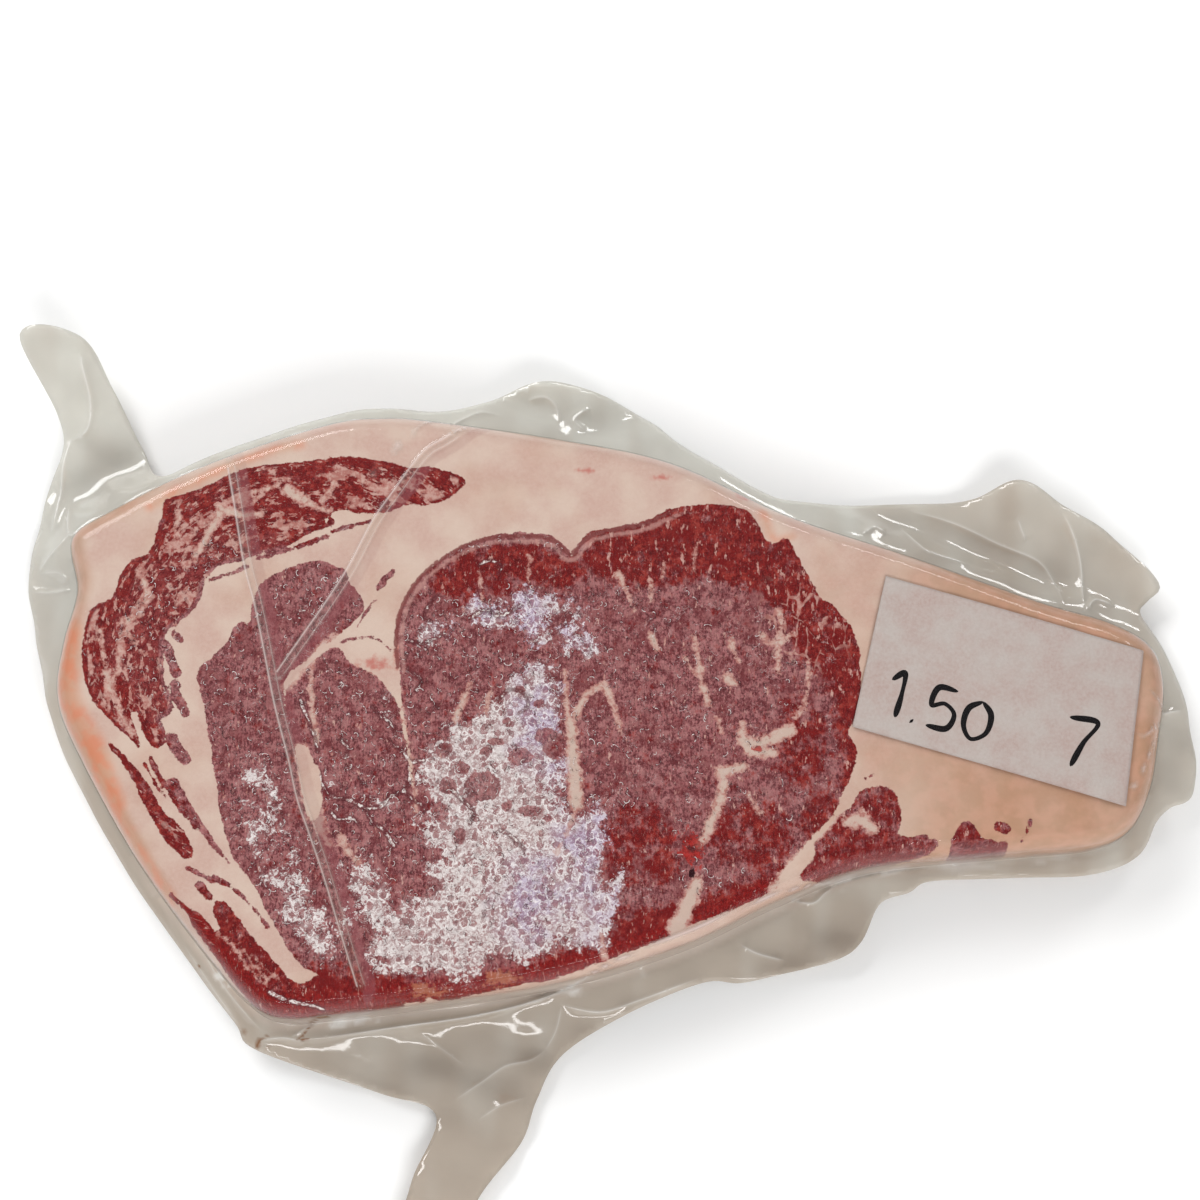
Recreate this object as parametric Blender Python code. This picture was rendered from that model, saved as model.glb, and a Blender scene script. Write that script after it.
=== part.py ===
"""A thick raw rib steak sealed in a clear vacuum bag, with a paper slip under the film.

Three solids: the steak, the bag it lies in, and the slip on its fat tail. The bag is a thin tray that
runs under the steak, rises round its lower edge and leaves it as a crumpled skirt of spare film.
Everything is a height over the same drawing, so the three solids nest with a small, even gap.
Millimetres in this file; the meshes are written in metres, +Z up, +X to the right, +Y away.
"""

import bmesh
import bpy
import numpy as np
from mathutils import Vector
from mathutils.geometry import delaunay_2d_cdt

MM = 0.001

# Driving dimensions
STEAK_THICKNESS = 30.0
SEAM_HEIGHT = 10.0        # the level where the steak is widest and the two films meet
TOP_EDGE_ROUNDING = 7.0   # how far in from the outline the top face starts
BOTTOM_EDGE_ROUNDING = 4.0
FILM_THICKNESS = 0.8      # both plies of the bag, thicker than life so that they make a solid
FIT_GAP = 0.35            # between nested solids, measured upwards
SIDE_GAP = 0.6            # between nested solids, measured outwards
LABEL_THICKNESS = 0.4
LABEL_LIFT = 0.45         # from the steak's top face to the slip's underside

STEAK_BOTTOM = FILM_THICKNESS + FIT_GAP
STEAK_TOP = STEAK_BOTTOM + STEAK_THICKNESS

# The widest outline of the steak, clockwise from its upper left corner
STEAK_OUTLINE = [
    (-146, 19), (-134, 28), (-108, 41), (-76, 52), (-60, 54), (-46, 53), (-12, 48), (20, 41), (52, 26),
    (84, 15), (120, 2), (140, -4), (151, -11), (154, -22), (152, -36), (149, -50), (143, -61), (132, -66),
    (112, -68), (73, -72), (48, -81), (22, -93), (-12, -103), (-52, -109), (-70, -111), (-82, -112),
    (-91, -109), (-103, -97), (-124, -70), (-142, -40), (-148, -25), (-147, -10), (-144, 4),
]

# The free edge of the bag, clockwise from the ear at its upper left. The lower flap runs on to a corner.
BAG_OUTLINE = [
    (-163, 78), (-147, 79), (-139, 66), (-131, 50), (-124, 40), (-108, 47), (-76, 58), (-60, 60), (-46, 59),
    (-34, 61), (-21, 66), (-11, 67), (2, 64), (15, 57), (23, 50), (45, 36), (57, 33), (92, 33), (106, 34),
    (118, 38), (131, 30), (144, 22), (156, 9), (153, 4), (151, 0), (158, -13), (162, -26), (163, -49),
    (156, -54), (152, -58), (147, -67), (134, -72), (112, -73), (90, -74), (84, -77), (76, -80), (71, -90),
    (64, -95), (48, -99), (38, -101), (28, -101), (8, -109), (-10, -120), (-17, -132), (-21, -143),
    (-32, -157), (-39, -172), (-53, -170), (-50, -153), (-44, -136), (-60, -130), (-92, -119), (-98, -112),
    (-109, -98), (-129, -71), (-146, -42), (-152, -27), (-154, -20), (-158, -5), (-161, 11), (-157, 36),
    (-153, 47), (-154, 58),
]

# The cut face swells a little over the eye and sinks towards the fat tail and the cap's corner
CROWN_RISE = 0.8
CROWN_CENTRE = (5.0, -30.0)
CROWN_SPREAD = (70.0, 50.0)
TAIL_SINK = 2.6
TAIL_START = 95.0
TAIL_LENGTH = 55.0
CORNER_SINK = 1.2
CORNER_START = -110.0
CORNER_LENGTH = 40.0

# Where spare film stands up: root and tip of the flap, half its width, and the rise at the tip
FLAPS = {
    "ear": ((-142, 40), (-156, 78), 22.0, 17.0),
    "back_hump": ((-8, 50), (-12, 67), 22.0, 8.0),
    "back_wing": ((112, 12), (124, 34), 34.0, 9.0),
    "right_tip": ((140, 4), (157, 10), 12.0, 6.0),
    "right_strip": ((150, -35), (163, -38), 18.0, 5.0),
    "front_right": ((50, -84), (62, -95), 24.0, 3.0),
    "front_tail": ((-30, -112), (-46, -171), 20.0, 5.0),
}
FLAP_CURL = 1.5           # over 1, a flap lifts more and more steeply towards its tip
FLAP_REACH = 1.15         # how far past its tip a flap goes on rising, as a share of its length
SKIRT_REST = 1.6          # lowest line of the skirt's underside above the floor
SKIRT_FALL = 9.0          # distance over which the skirt sinks from the seam to the floor
RIPPLE_HEIGHT = 0.9
RIPPLE_LENGTHS = (31.0, 17.0)
RIPPLE_SLANT = 11.0       # distance in Y over which the long ripple moves on by one radian
RIPPLE_START = 1.3        # where in its wave the short ripple starts, in radians

# The slip of paper, clockwise from its upper left corner
LABEL_CORNERS = ((77, 6), (146, -14), (139, -56), (67, -35))
LABEL_CELLS = (14, 9)

# How finely the surfaces are divided
CURVE_STEPS = 12
OUTLINE_STEP = 6.5
STEAK_GRID = 13.0
SKIRT_GRID = 9.0
SKIRT_EDGE_STEP = 7.5
SKIRT_GRID_MARGIN = 0.4   # how far the skirt's grid stays off its edges, as a share of its spacing
TOP_ROUND_ANGLES = (15, 30, 50, 70, 90)
BOTTOM_ROUND_ANGLES = (30, 60, 90)
RING_TOLERANCE = 0.05
RING_TOLERANCE_SHARE = 0.02
MERGE_DISTANCE = 0.02
FILL_TOLERANCE = 1e-5
SHARP_ANGLE = np.radians(40)


def clear_scene():
    for old in list(bpy.data.objects):
        bpy.data.objects.remove(old)


def smooth_loop(corners, step):
    """An even run of points along the closed curve that passes through the corners."""
    p = np.array(corners, float)
    before, after, beyond = np.roll(p, 1, 0), np.roll(p, -1, 0), np.roll(p, -2, 0)
    dense = []
    for t in np.linspace(0, 1, CURVE_STEPS, endpoint=False):
        dense.append(
            0.5 * (2 * p + (after - before) * t + (2 * before - 5 * p + 4 * after - beyond) * t**2
                   + (3 * p - before - 3 * after + beyond) * t**3)
        )
    curve = np.stack(dense, 1).reshape(-1, 2)
    closed = np.vstack([curve, curve[:1]])
    run = np.concatenate([[0], np.cumsum(np.linalg.norm(np.diff(closed, axis=0), axis=1))])
    at = np.linspace(0, run[-1], int(round(run[-1] / step)), endpoint=False)
    return np.stack([np.interp(at, run, closed[:, 0]), np.interp(at, run, closed[:, 1])], 1)


def depth_inside(points, loop):
    """Distance from each point to the loop: positive inside it, negative outside."""
    a, b = loop, np.roll(loop, -1, 0)
    along = b - a
    to_point = points[:, None] - a[None]
    share = np.clip((to_point * along).sum(2) / (along * along).sum(1), 0, 1)
    distance = np.linalg.norm(to_point - share[..., None] * along, axis=2).min(1)
    x, y = points[:, 0:1], points[:, 1:2]
    straddles = (a[:, 1] > y) != (b[:, 1] > y)
    rise = np.where(along[:, 1] == 0, 1e-9, along[:, 1])
    crosses = straddles & (x < a[:, 0] + (y - a[:, 1]) / rise * along[:, 0])
    inside = crosses.sum(1) % 2 == 1
    return np.where(inside, distance, -distance)


def edge_zeroed(points, outline):
    """Depth inside the outline, with the outline's own points at exactly no depth."""
    depth = depth_inside(points, outline)
    depth[: len(outline)] = 0.0
    return depth


def outward_normals(loop):
    """Unit normals of a clockwise loop, pointing away from what it encloses."""
    tangent = np.roll(loop, -1, 0) - np.roll(loop, 1, 0)
    tangent /= np.linalg.norm(tangent, axis=1)[:, None]
    return np.stack([-tangent[:, 1], tangent[:, 0]], 1)


def honeycomb(loop, spacing):
    """Staggered grid points over the loop's bounding box."""
    low, high = loop.min(0), loop.max(0)
    rows = np.arange(low[1], high[1], spacing * np.sin(np.radians(60)))
    columns = np.arange(low[0], high[0], spacing)
    return np.array([(x + (j % 2) * spacing / 2, y) for j, y in enumerate(rows) for x in columns])


def ring(loop, inset):
    """The loop moved inwards by inset, less the points that a tight corner would fold over."""
    moved = loop - outward_normals(loop) * inset
    tolerance = RING_TOLERANCE + RING_TOLERANCE_SHARE * abs(inset)
    return moved[depth_inside(moved, loop) > inset - tolerance]


def rounding(depth, radius):
    """Share of the full height at a depth inside an edge rounded as a quarter circle."""
    t = np.clip(depth / radius, 0, 1)
    return np.sqrt(1 - (1 - t) ** 2)


def rounding_insets(radius, angles):
    """How far in from the edge the rounding has turned by each angle."""
    return [radius * (1 - np.cos(np.radians(angle))) for angle in angles]


def top_level(points):
    """Height of the steak's cut face: a low crown over the eye, sinking towards the tail."""
    x, y = points[:, 0], points[:, 1]
    across = (x - CROWN_CENTRE[0]) / CROWN_SPREAD[0]
    along = (y - CROWN_CENTRE[1]) / CROWN_SPREAD[1]
    crown = CROWN_RISE * (np.exp(-(across**2) - along**2) - 1)
    tail = TAIL_SINK * np.clip((x - TAIL_START) / TAIL_LENGTH, 0, 1) ** 2
    corner = CORNER_SINK * np.clip((CORNER_START - x) / CORNER_LENGTH, 0, 1) ** 2
    return STEAK_TOP + crown - tail - corner


def steak_top(points, depth):
    return SEAM_HEIGHT + (top_level(points) - SEAM_HEIGHT) * rounding(depth, TOP_EDGE_ROUNDING)


def steak_underside(depth):
    return SEAM_HEIGHT - (SEAM_HEIGHT - STEAK_BOTTOM) * rounding(depth, BOTTOM_EDGE_ROUNDING)


def flap_rise(points, root, tip, half_width, rise):
    """How much a flap lifts the film: nothing at its root, the full rise at its tip."""
    x, y = points[:, 0], points[:, 1]
    along = np.subtract(tip, root)
    reach = np.linalg.norm(along)
    way = along / reach
    t = np.clip(((x - root[0]) * way[0] + (y - root[1]) * way[1]) / reach, 0, FLAP_REACH)
    aside = (x - root[0]) * way[1] - (y - root[1]) * way[0]
    return rise * t**FLAP_CURL * np.exp(-((aside / half_width) ** 2))


def skirt_height(points, out):
    """Upper side of the spare film at a distance out from the seam."""
    x, y = points[:, 0], points[:, 1]
    low = SKIRT_REST + FILM_THICKNESS
    height = low + (SEAM_HEIGHT - low) * np.exp(-((out / SKIRT_FALL) ** 2))
    for root, tip, half_width, rise in FLAPS.values():
        height = height + flap_rise(points, root, tip, half_width, rise)
    long_wave, short_wave = RIPPLE_LENGTHS
    long_ripple = np.sin(x * 2 * np.pi / long_wave + y / RIPPLE_SLANT)
    short_ripple = np.sin(y * 2 * np.pi / short_wave + RIPPLE_START)
    return height + RIPPLE_HEIGHT * long_ripple * short_ripple * np.clip(out / SKIRT_FALL, 0, 1)


def bag_upper(points, depth):
    """Upper side of the bag: under the steak, round its lower edge, then out along the skirt."""
    nested = depth + SIDE_GAP
    under = SEAM_HEIGHT - (SEAM_HEIGHT - FILM_THICKNESS) * rounding(nested, BOTTOM_EDGE_ROUNDING)
    return np.where(nested > 0, under, skirt_height(points, -nested))


def triangulate(edge_loop, inner_points):
    """Points and triangles that fill the loop and use every inner point."""
    points = [Vector(p) for p in np.vstack([edge_loop, inner_points])]
    filled = delaunay_2d_cdt(points, [], [list(range(len(edge_loop)))], 1, FILL_TOLERANCE)
    return np.array([tuple(v) for v in filled[0]]), filled[2]


def close_body(name, body):
    """The finished mesh of a body: faces turned outwards and cut into triangles."""
    bmesh.ops.remove_doubles(body, verts=body.verts, dist=MERGE_DISTANCE * MM)
    bmesh.ops.recalc_face_normals(body, faces=body.faces)
    bmesh.ops.triangulate(body, faces=body.faces)
    mesh = bpy.data.meshes.new(name)
    body.to_mesh(mesh)
    body.free()
    mesh.shade_smooth()
    mesh.set_sharp_from_angle(angle=SHARP_ANGLE)
    return mesh


def place_points(body, points, heights):
    return [body.verts.new((x * MM, y * MM, z * MM)) for (x, y), z in zip(points, heights)]


def wall_between(body, upper_rim, lower_rim):
    """A band of faces that joins two rims point by point."""
    for i in range(len(upper_rim)):
        j = (i + 1) % len(upper_rim)
        body.faces.new((upper_rim[i], upper_rim[j], lower_rim[j], lower_rim[i]))


def join_sheets(name, upper, lower, edge_count):
    """A closed body between two sheets whose first edge_count points are the same edge, seen from above."""
    body = bmesh.new()
    rims = []
    for (points, heights, faces), facing_up in ((upper, True), (lower, False)):
        placed = place_points(body, points, heights)
        for face in faces:
            corners = [placed[i] for i in face]
            flat = (corners[1].co - corners[0].co).cross(corners[2].co - corners[0].co)
            body.faces.new(corners if (flat.z > 0) == facing_up else corners[::-1])
        rims.append(placed[:edge_count])
    wall_between(body, *rims)
    return close_body(name, body)


def build_steak(outline):
    """The steak: one solid, widest at the seam, with rounded upper and lower edges."""
    top_rings = [ring(outline, inset) for inset in rounding_insets(TOP_EDGE_ROUNDING, TOP_ROUND_ANGLES)]
    grid = honeycomb(outline, STEAK_GRID)
    grid = grid[depth_inside(grid, outline) > TOP_EDGE_ROUNDING + STEAK_GRID / 2]
    points, faces = triangulate(outline, np.vstack([*top_rings, grid]))
    upper = (points, steak_top(points, edge_zeroed(points, outline)), faces)

    low_rings = [ring(outline, inset) for inset in rounding_insets(BOTTOM_EDGE_ROUNDING, BOTTOM_ROUND_ANGLES)]
    points, faces = triangulate(outline, np.vstack(low_rings))
    lower = (points, steak_underside(edge_zeroed(points, outline)), faces)
    return join_sheets("steak", upper, lower, len(outline))


def build_bag(outline, free_edge):
    """The bag: a sheet that cups the steak from below and spreads into the crumpled skirt."""
    insets = rounding_insets(BOTTOM_EDGE_ROUNDING, (0, *BOTTOM_ROUND_ANGLES))
    rings = [ring(outline, inset - SIDE_GAP) for inset in insets]
    grid = honeycomb(free_edge, SKIRT_GRID)
    margin = SKIRT_GRID * SKIRT_GRID_MARGIN
    outside_steak = depth_inside(grid, outline) < -SIDE_GAP - margin
    inside_edge = depth_inside(grid, free_edge) > margin
    points, faces = triangulate(free_edge, np.vstack([*rings, grid[outside_steak & inside_edge]]))
    height = bag_upper(points, depth_inside(points, outline))
    upper = (points, height, faces)
    lower = (points, height - FILM_THICKNESS, faces)
    return join_sheets("vacuum_bag", upper, lower, len(free_edge))


def label_rows(outline):
    """The slip's grid of places and the height of the steak's face under each, row by row."""
    across, down = LABEL_CELLS
    top_left, top_right, low_right, low_left = (np.array(corner, float) for corner in LABEL_CORNERS)
    rows = []
    for j in range(down + 1):
        left = top_left + (low_left - top_left) * j / down
        right = top_right + (low_right - top_right) * j / down
        spots = np.array([left + (right - left) * i / across for i in range(across + 1)])
        rows.append((spots, steak_top(spots, depth_inside(spots, outline))))
    return rows


def rim_of(rows):
    """The outer points of a grid, once round from its first corner."""
    right_side = [row[-1] for row in rows[:-1]]
    left_side = [row[0] for row in rows[:0:-1]]
    return rows[0][:-1] + right_side + rows[-1][:0:-1] + left_side


def build_label(outline):
    """The slip of paper: a thin sheet that follows the fat below it and dips with the tail."""
    across, down = LABEL_CELLS
    body = bmesh.new()
    rims = []
    for lift in (LABEL_LIFT + LABEL_THICKNESS, LABEL_LIFT):
        rows = [place_points(body, spots, face + lift) for spots, face in label_rows(outline)]
        for j in range(down):
            for i in range(across):
                body.faces.new((rows[j][i], rows[j][i + 1], rows[j + 1][i + 1], rows[j + 1][i]))
        rims.append(rim_of(rows))
    wall_between(body, *rims)
    return close_body("label", body)


def surface_material(name, colour, roughness, alpha=1.0):
    material = bpy.data.materials.new(name)
    material.use_nodes = True
    shader = material.node_tree.nodes["Principled BSDF"]
    shader.inputs["Base Color"].default_value = (*colour, 1.0)
    shader.inputs["Roughness"].default_value = roughness
    shader.inputs["Metallic"].default_value = 0.0
    shader.inputs["Alpha"].default_value = alpha
    return material


def place(name, mesh, material, parent):
    mesh.materials.append(material)
    thing = bpy.data.objects.new(name, mesh)
    bpy.context.scene.collection.objects.link(thing)
    thing.parent = parent


def main():
    clear_scene()
    outline = smooth_loop(STEAK_OUTLINE, OUTLINE_STEP)
    free_edge = smooth_loop(BAG_OUTLINE, SKIRT_EDGE_STEP)

    # The origin is on the floor under the middle of the bag, the widest piece
    middle = (free_edge.min(0) + free_edge.max(0)) / 2
    drawing = bpy.data.objects.new("drawing_centre", None)
    bpy.context.scene.collection.objects.link(drawing)
    drawing.location = (-middle[0] * MM, -middle[1] * MM, 0.0)

    beef = surface_material("raw_beef", (0.30, 0.06, 0.06), 0.35)
    film = surface_material("clear_film", (0.75, 0.74, 0.70), 0.15, alpha=0.4)
    paper = surface_material("paper", (0.72, 0.66, 0.66), 0.8)
    place("steak", build_steak(outline), beef, drawing)
    place("vacuum_bag", build_bag(outline, free_edge), film, drawing)
    place("label", build_label(outline), paper, drawing)


main()
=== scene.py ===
"""The looks of a thick raw rib steak sealed in a clear vacuum bag, with a paper slip under the film.

Drawn in millimetres over the same plan as the solids: the steak's widest outline and the bag's free edge.
What lies on the cut face is drawn as a few points for each muscle, seam and vein, read off the
photograph in its 1200 pixel frame and put on the face through the camera. Each becomes a distance that is
stored on the steak's points, and the beef's material turns distances and fine noise into lean and fat.
"""

import math

import bmesh
import bpy
import numpy as np
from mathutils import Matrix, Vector
from mathutils.geometry import delaunay_2d_cdt


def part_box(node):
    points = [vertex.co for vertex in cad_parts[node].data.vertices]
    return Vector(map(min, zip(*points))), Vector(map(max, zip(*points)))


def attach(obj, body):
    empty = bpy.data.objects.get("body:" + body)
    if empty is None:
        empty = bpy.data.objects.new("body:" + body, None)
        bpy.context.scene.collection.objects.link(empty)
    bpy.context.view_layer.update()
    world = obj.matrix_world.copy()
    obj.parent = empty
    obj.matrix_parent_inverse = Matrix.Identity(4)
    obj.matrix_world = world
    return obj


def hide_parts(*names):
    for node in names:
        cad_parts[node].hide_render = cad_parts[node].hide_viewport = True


MM = 0.001

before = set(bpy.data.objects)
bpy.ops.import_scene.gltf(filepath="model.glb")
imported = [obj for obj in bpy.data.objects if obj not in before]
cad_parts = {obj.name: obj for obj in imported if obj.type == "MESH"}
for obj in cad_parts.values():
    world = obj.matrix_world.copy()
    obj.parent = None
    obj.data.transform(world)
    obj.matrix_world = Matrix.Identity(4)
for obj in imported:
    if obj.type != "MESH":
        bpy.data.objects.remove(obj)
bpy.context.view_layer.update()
STEAK_LOW, STEAK_HIGH = (np.array(corner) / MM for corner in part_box("steak"))

# The plan, as the solids have it
SEAM_HEIGHT = 10.0
TOP_EDGE_ROUNDING = 7.0
BOTTOM_EDGE_ROUNDING = 4.0
BAG_THICKNESS = 0.8
STEAK_TOP = STEAK_HIGH[2]
STEAK_OUTLINE = [
    (-146, 19), (-134, 28), (-108, 41), (-76, 52), (-60, 54), (-46, 53), (-12, 48), (20, 41), (52, 26),
    (84, 15), (120, 2), (140, -4), (151, -11), (154, -22), (152, -36), (149, -50), (143, -61), (132, -66),
    (112, -68), (73, -72), (48, -81), (22, -93), (-12, -103), (-52, -109), (-70, -111), (-82, -112),
    (-91, -109), (-103, -97), (-124, -70), (-142, -40), (-148, -25), (-147, -10), (-144, 4),
]
BAG_OUTLINE = [
    (-163, 78), (-147, 79), (-139, 66), (-131, 50), (-124, 40), (-108, 47), (-76, 58), (-60, 60), (-46, 59),
    (-34, 61), (-21, 66), (-11, 67), (2, 64), (15, 57), (23, 50), (45, 36), (57, 33), (92, 33), (106, 34),
    (118, 38), (131, 30), (144, 22), (156, 9), (153, 4), (151, 0), (158, -13), (162, -26), (163, -49),
    (156, -54), (152, -58), (147, -67), (134, -72), (112, -73), (90, -74), (84, -77), (76, -80), (71, -90),
    (64, -95), (48, -99), (38, -101), (28, -101), (8, -109), (-10, -120), (-17, -132), (-21, -143),
    (-32, -157), (-39, -172), (-53, -170), (-50, -153), (-44, -136), (-60, -130), (-92, -119), (-98, -112),
    (-109, -98), (-129, -71), (-146, -42), (-152, -27), (-154, -20), (-158, -5), (-161, 11), (-157, 36),
    (-153, 47), (-154, 58),
]
LABEL_CORNERS = ((77, 6), (146, -14), (139, -56), (67, -35))

# The crown, the sinking tail and corner, and the flaps of spare film
CROWN_RISE, CROWN_CENTRE, CROWN_SPREAD = 0.8, (5.0, -30.0), (70.0, 50.0)
TAIL_SINK, TAIL_START, TAIL_LENGTH = 2.6, 95.0, 55.0
CORNER_SINK, CORNER_START, CORNER_LENGTH = 1.2, -110.0, 40.0
FLAPS = {
    "ear": ((-142, 40), (-156, 78), 22.0, 17.0),
    "back_hump": ((-8, 50), (-12, 67), 22.0, 8.0),
    "back_wing": ((112, 12), (124, 34), 34.0, 9.0),
    "right_tip": ((140, 4), (157, 10), 12.0, 6.0),
    "right_strip": ((150, -35), (163, -38), 18.0, 5.0),
    "front_right": ((50, -84), (62, -95), 24.0, 3.0),
    "front_tail": ((-30, -112), (-46, -171), 20.0, 5.0),
}
FLAP_CURL, FLAP_REACH = 1.5, 1.15
SKIRT_REST, SKIRT_FALL = 1.6, 9.0
RIPPLE_HEIGHT, RIPPLE_LENGTHS, RIPPLE_SLANT, RIPPLE_START = 0.9, (31.0, 17.0), 11.0, 1.3

# The camera, as the photograph was taken: 12 degrees off straight down, from the near side
CAMERA_TILT = math.radians(12)
CAMERA_DISTANCE = 600.0
AIM_HEIGHT = 28.0
MM_PER_PIXEL = 0.27
PHOTO_CENTRE = 600.0
PHOTO_WIDTH = 1200.0
SENSOR_WIDTH = 36.0
FACE_HEIGHT = 30.5
SKIRT_HEIGHT = 4.0

# Muscles of the cut face: closed outlines, in photo pixels
EYE = [
    (398, 650), (395, 636), (397, 620), (404, 602), (414, 584), (427, 570), (441, 559), (458, 548),
    (476, 540), (492, 535), (518, 533), (543, 534), (558, 539), (569, 549), (573, 556), (577, 546),
    (586, 534), (602, 529), (640, 522), (658, 514), (674, 508), (692, 505), (718, 504), (738, 507),
    (752, 513), (759, 526), (765, 537), (774, 543), (786, 536), (794, 548), (802, 563), (812, 582),
    (820, 597), (834, 606), (843, 618), (852, 626), (857, 642), (861, 668), (860, 700), (853, 722),
    (849, 732), (856, 748), (856, 761), (850, 779), (841, 797), (837, 809), (827, 822), (814, 835),
    (801, 850), (788, 865), (778, 879), (778, 888), (740, 906), (700, 922), (660, 940), (610, 959),
    (560, 976), (523, 984), (482, 992), (430, 999), (420, 960), (418, 900), (416, 840), (415, 800),
    (408, 745), (402, 700),
]
INNER_LEFT = [
    (322, 559), (336, 566), (345, 568), (348, 579), (359, 594), (364, 604), (359, 617), (350, 625),
    (341, 632), (333, 641), (320, 646), (310, 656), (298, 666), (286, 679), (284, 700), (292, 730),
    (297, 760), (303, 798), (311, 822), (322, 850), (335, 885), (348, 925), (360, 960), (368, 992),
    (340, 992), (321, 978), (295, 958), (275, 925), (265, 909), (252, 884), (232, 858), (226, 838),
    (219, 807), (216, 784), (211, 751), (206, 725), (203, 701), (197, 683), (196, 674), (201, 665),
    (214, 655), (224, 645), (234, 627), (242, 621), (249, 624), (252, 604), (257, 589), (265, 579),
    (278, 571), (298, 564),
]
MIDDLE = [
    (300, 672), (314, 660), (328, 650), (338, 646), (346, 658), (357, 667), (370, 671), (380, 679),
    (390, 692), (398, 706), (406, 745), (413, 790), (418, 830), (422, 900), (430, 975), (425, 999),
    (380, 1002), (355, 990), (342, 945), (326, 900), (312, 850), (306, 828), (318, 815), (322, 795),
    (318, 770), (306, 748), (292, 740), (286, 715), (286, 690),
]
CAP = [
    (467, 482), (458, 474), (446, 470), (430, 466), (410, 467), (388, 461), (361, 457), (336, 457),
    (310, 460), (285, 462), (260, 465), (242, 469), (226, 475), (209, 484), (188, 493), (166, 499),
    (162, 512), (155, 535), (149, 553), (132, 559), (124, 568), (117, 581), (112, 596), (100, 602),
    (90, 608), (85, 622), (82, 642), (82, 668), (86, 686), (93, 703), (104, 714), (116, 727), (132, 741),
    (141, 752), (138, 736), (131, 716), (136, 712), (144, 736), (155, 748), (165, 741), (163, 726),
    (158, 719), (170, 714), (173, 706), (169, 695), (164, 678), (163, 655), (162, 643), (166, 632),
    (176, 624), (190, 613), (199, 602), (202, 588), (208, 576), (220, 566), (240, 561), (258, 555),
    (285, 548), (308, 534), (334, 524), (330, 513), (345, 510), (359, 513), (387, 512), (408, 505),
    (430, 505), (451, 497),
]
TAIL_STRIP = [
    (104, 740), (117, 756), (132, 779), (140, 797), (152, 820), (163, 838), (175, 851), (188, 859),
    (193, 852), (188, 837), (175, 821), (163, 811), (155, 796), (142, 776), (129, 760), (117, 748),
]
CORNER_MUSCLE = [
    (215, 901), (222, 900), (231, 909), (241, 922), (256, 941), (271, 957), (285, 973), (299, 983),
    (318, 976), (335, 980), (354, 986), (375, 988), (397, 986), (400, 1008), (369, 1012), (335, 1016),
    (305, 1022), (277, 1034), (258, 1022), (242, 1000), (227, 978), (213, 957), (198, 937), (186, 914),
    (196, 911), (208, 921), (215, 931), (219, 929), (215, 918), (212, 908),
]
NEAR_TRIANGLE = [
    (799, 876), (814, 858), (816, 840), (829, 827), (839, 814), (852, 807), (855, 798), (865, 789),
    (878, 785), (890, 787), (897, 796), (900, 809), (902, 820), (898, 830), (897, 836), (912, 836),
    (931, 834), (925, 841), (936, 837), (940, 845), (930, 853), (893, 863), (855, 873), (824, 880),
]
TAIL_PATCH = [
    (952, 845), (957, 828), (964, 821), (972, 822), (982, 835), (995, 840), (1010, 841), (1009, 855),
    (960, 860),
]
MUSCLES = [
    EYE, INNER_LEFT, MIDDLE, CAP, TAIL_STRIP, CORNER_MUSCLE, NEAR_TRIANGLE, TAIL_PATCH,
]

# Thin lean strips in the fat: half width in millimetres at the two ends, then photo pixels
LEAN_STRIPS = [
    (0.6, 0.8, [(257, 558), (285, 550), (310, 542), (326, 536)]),
    (0.6, 0.5, [(333, 531), (350, 526), (371, 521)]),
    (0.5, 0.6, [(209, 580), (230, 573), (247, 566)]),
    (1.2, 1.4, [(165, 644), (170, 656), (175, 672)]),
    (0.9, 0.9, [(173, 683), (178, 685)]),
    (1.2, 1.5, [(174, 692), (180, 702), (185, 712)]),
    (1.6, 1.5, [(171, 738), (177, 749), (185, 759)]),
    (0.8, 0.8, [(173, 633), (181, 640)]),
    (1.5, 0.5, [(172, 782), (183, 800), (197, 822), (210, 840), (229, 863)]),
    (0.8, 0.3, [(214, 877), (235, 890), (254, 909), (268, 927)]),
    (0.8, 0.6, [(150, 758), (160, 778), (170, 792), (184, 814), (196, 828)]),
    (0.5, 0.4, [(144, 764), (154, 782), (166, 800)]),
    (0.6, 0.9, [(187, 868), (200, 874), (212, 880)]),
    (1.3, 1.1, [(199, 885), (209, 897)]),
    (0.9, 0.8, [(170, 895), (187, 910)]),
    (0.9, 0.7, [(379, 587), (386, 578), (393, 571)]),
    (0.3, 0.4, [(357, 627), (366, 612), (375, 600)]),
    (0.4, 0.3, [(337, 644), (352, 639), (375, 638), (392, 651)]),
    (1.6, 1.4, [(1000, 827), (1006, 829)]),
    (0.5, 0.3, [(1031, 820), (1024, 841)]),
    (0.5, 0.3, [(866, 779), (874, 774)]),
]

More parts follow.
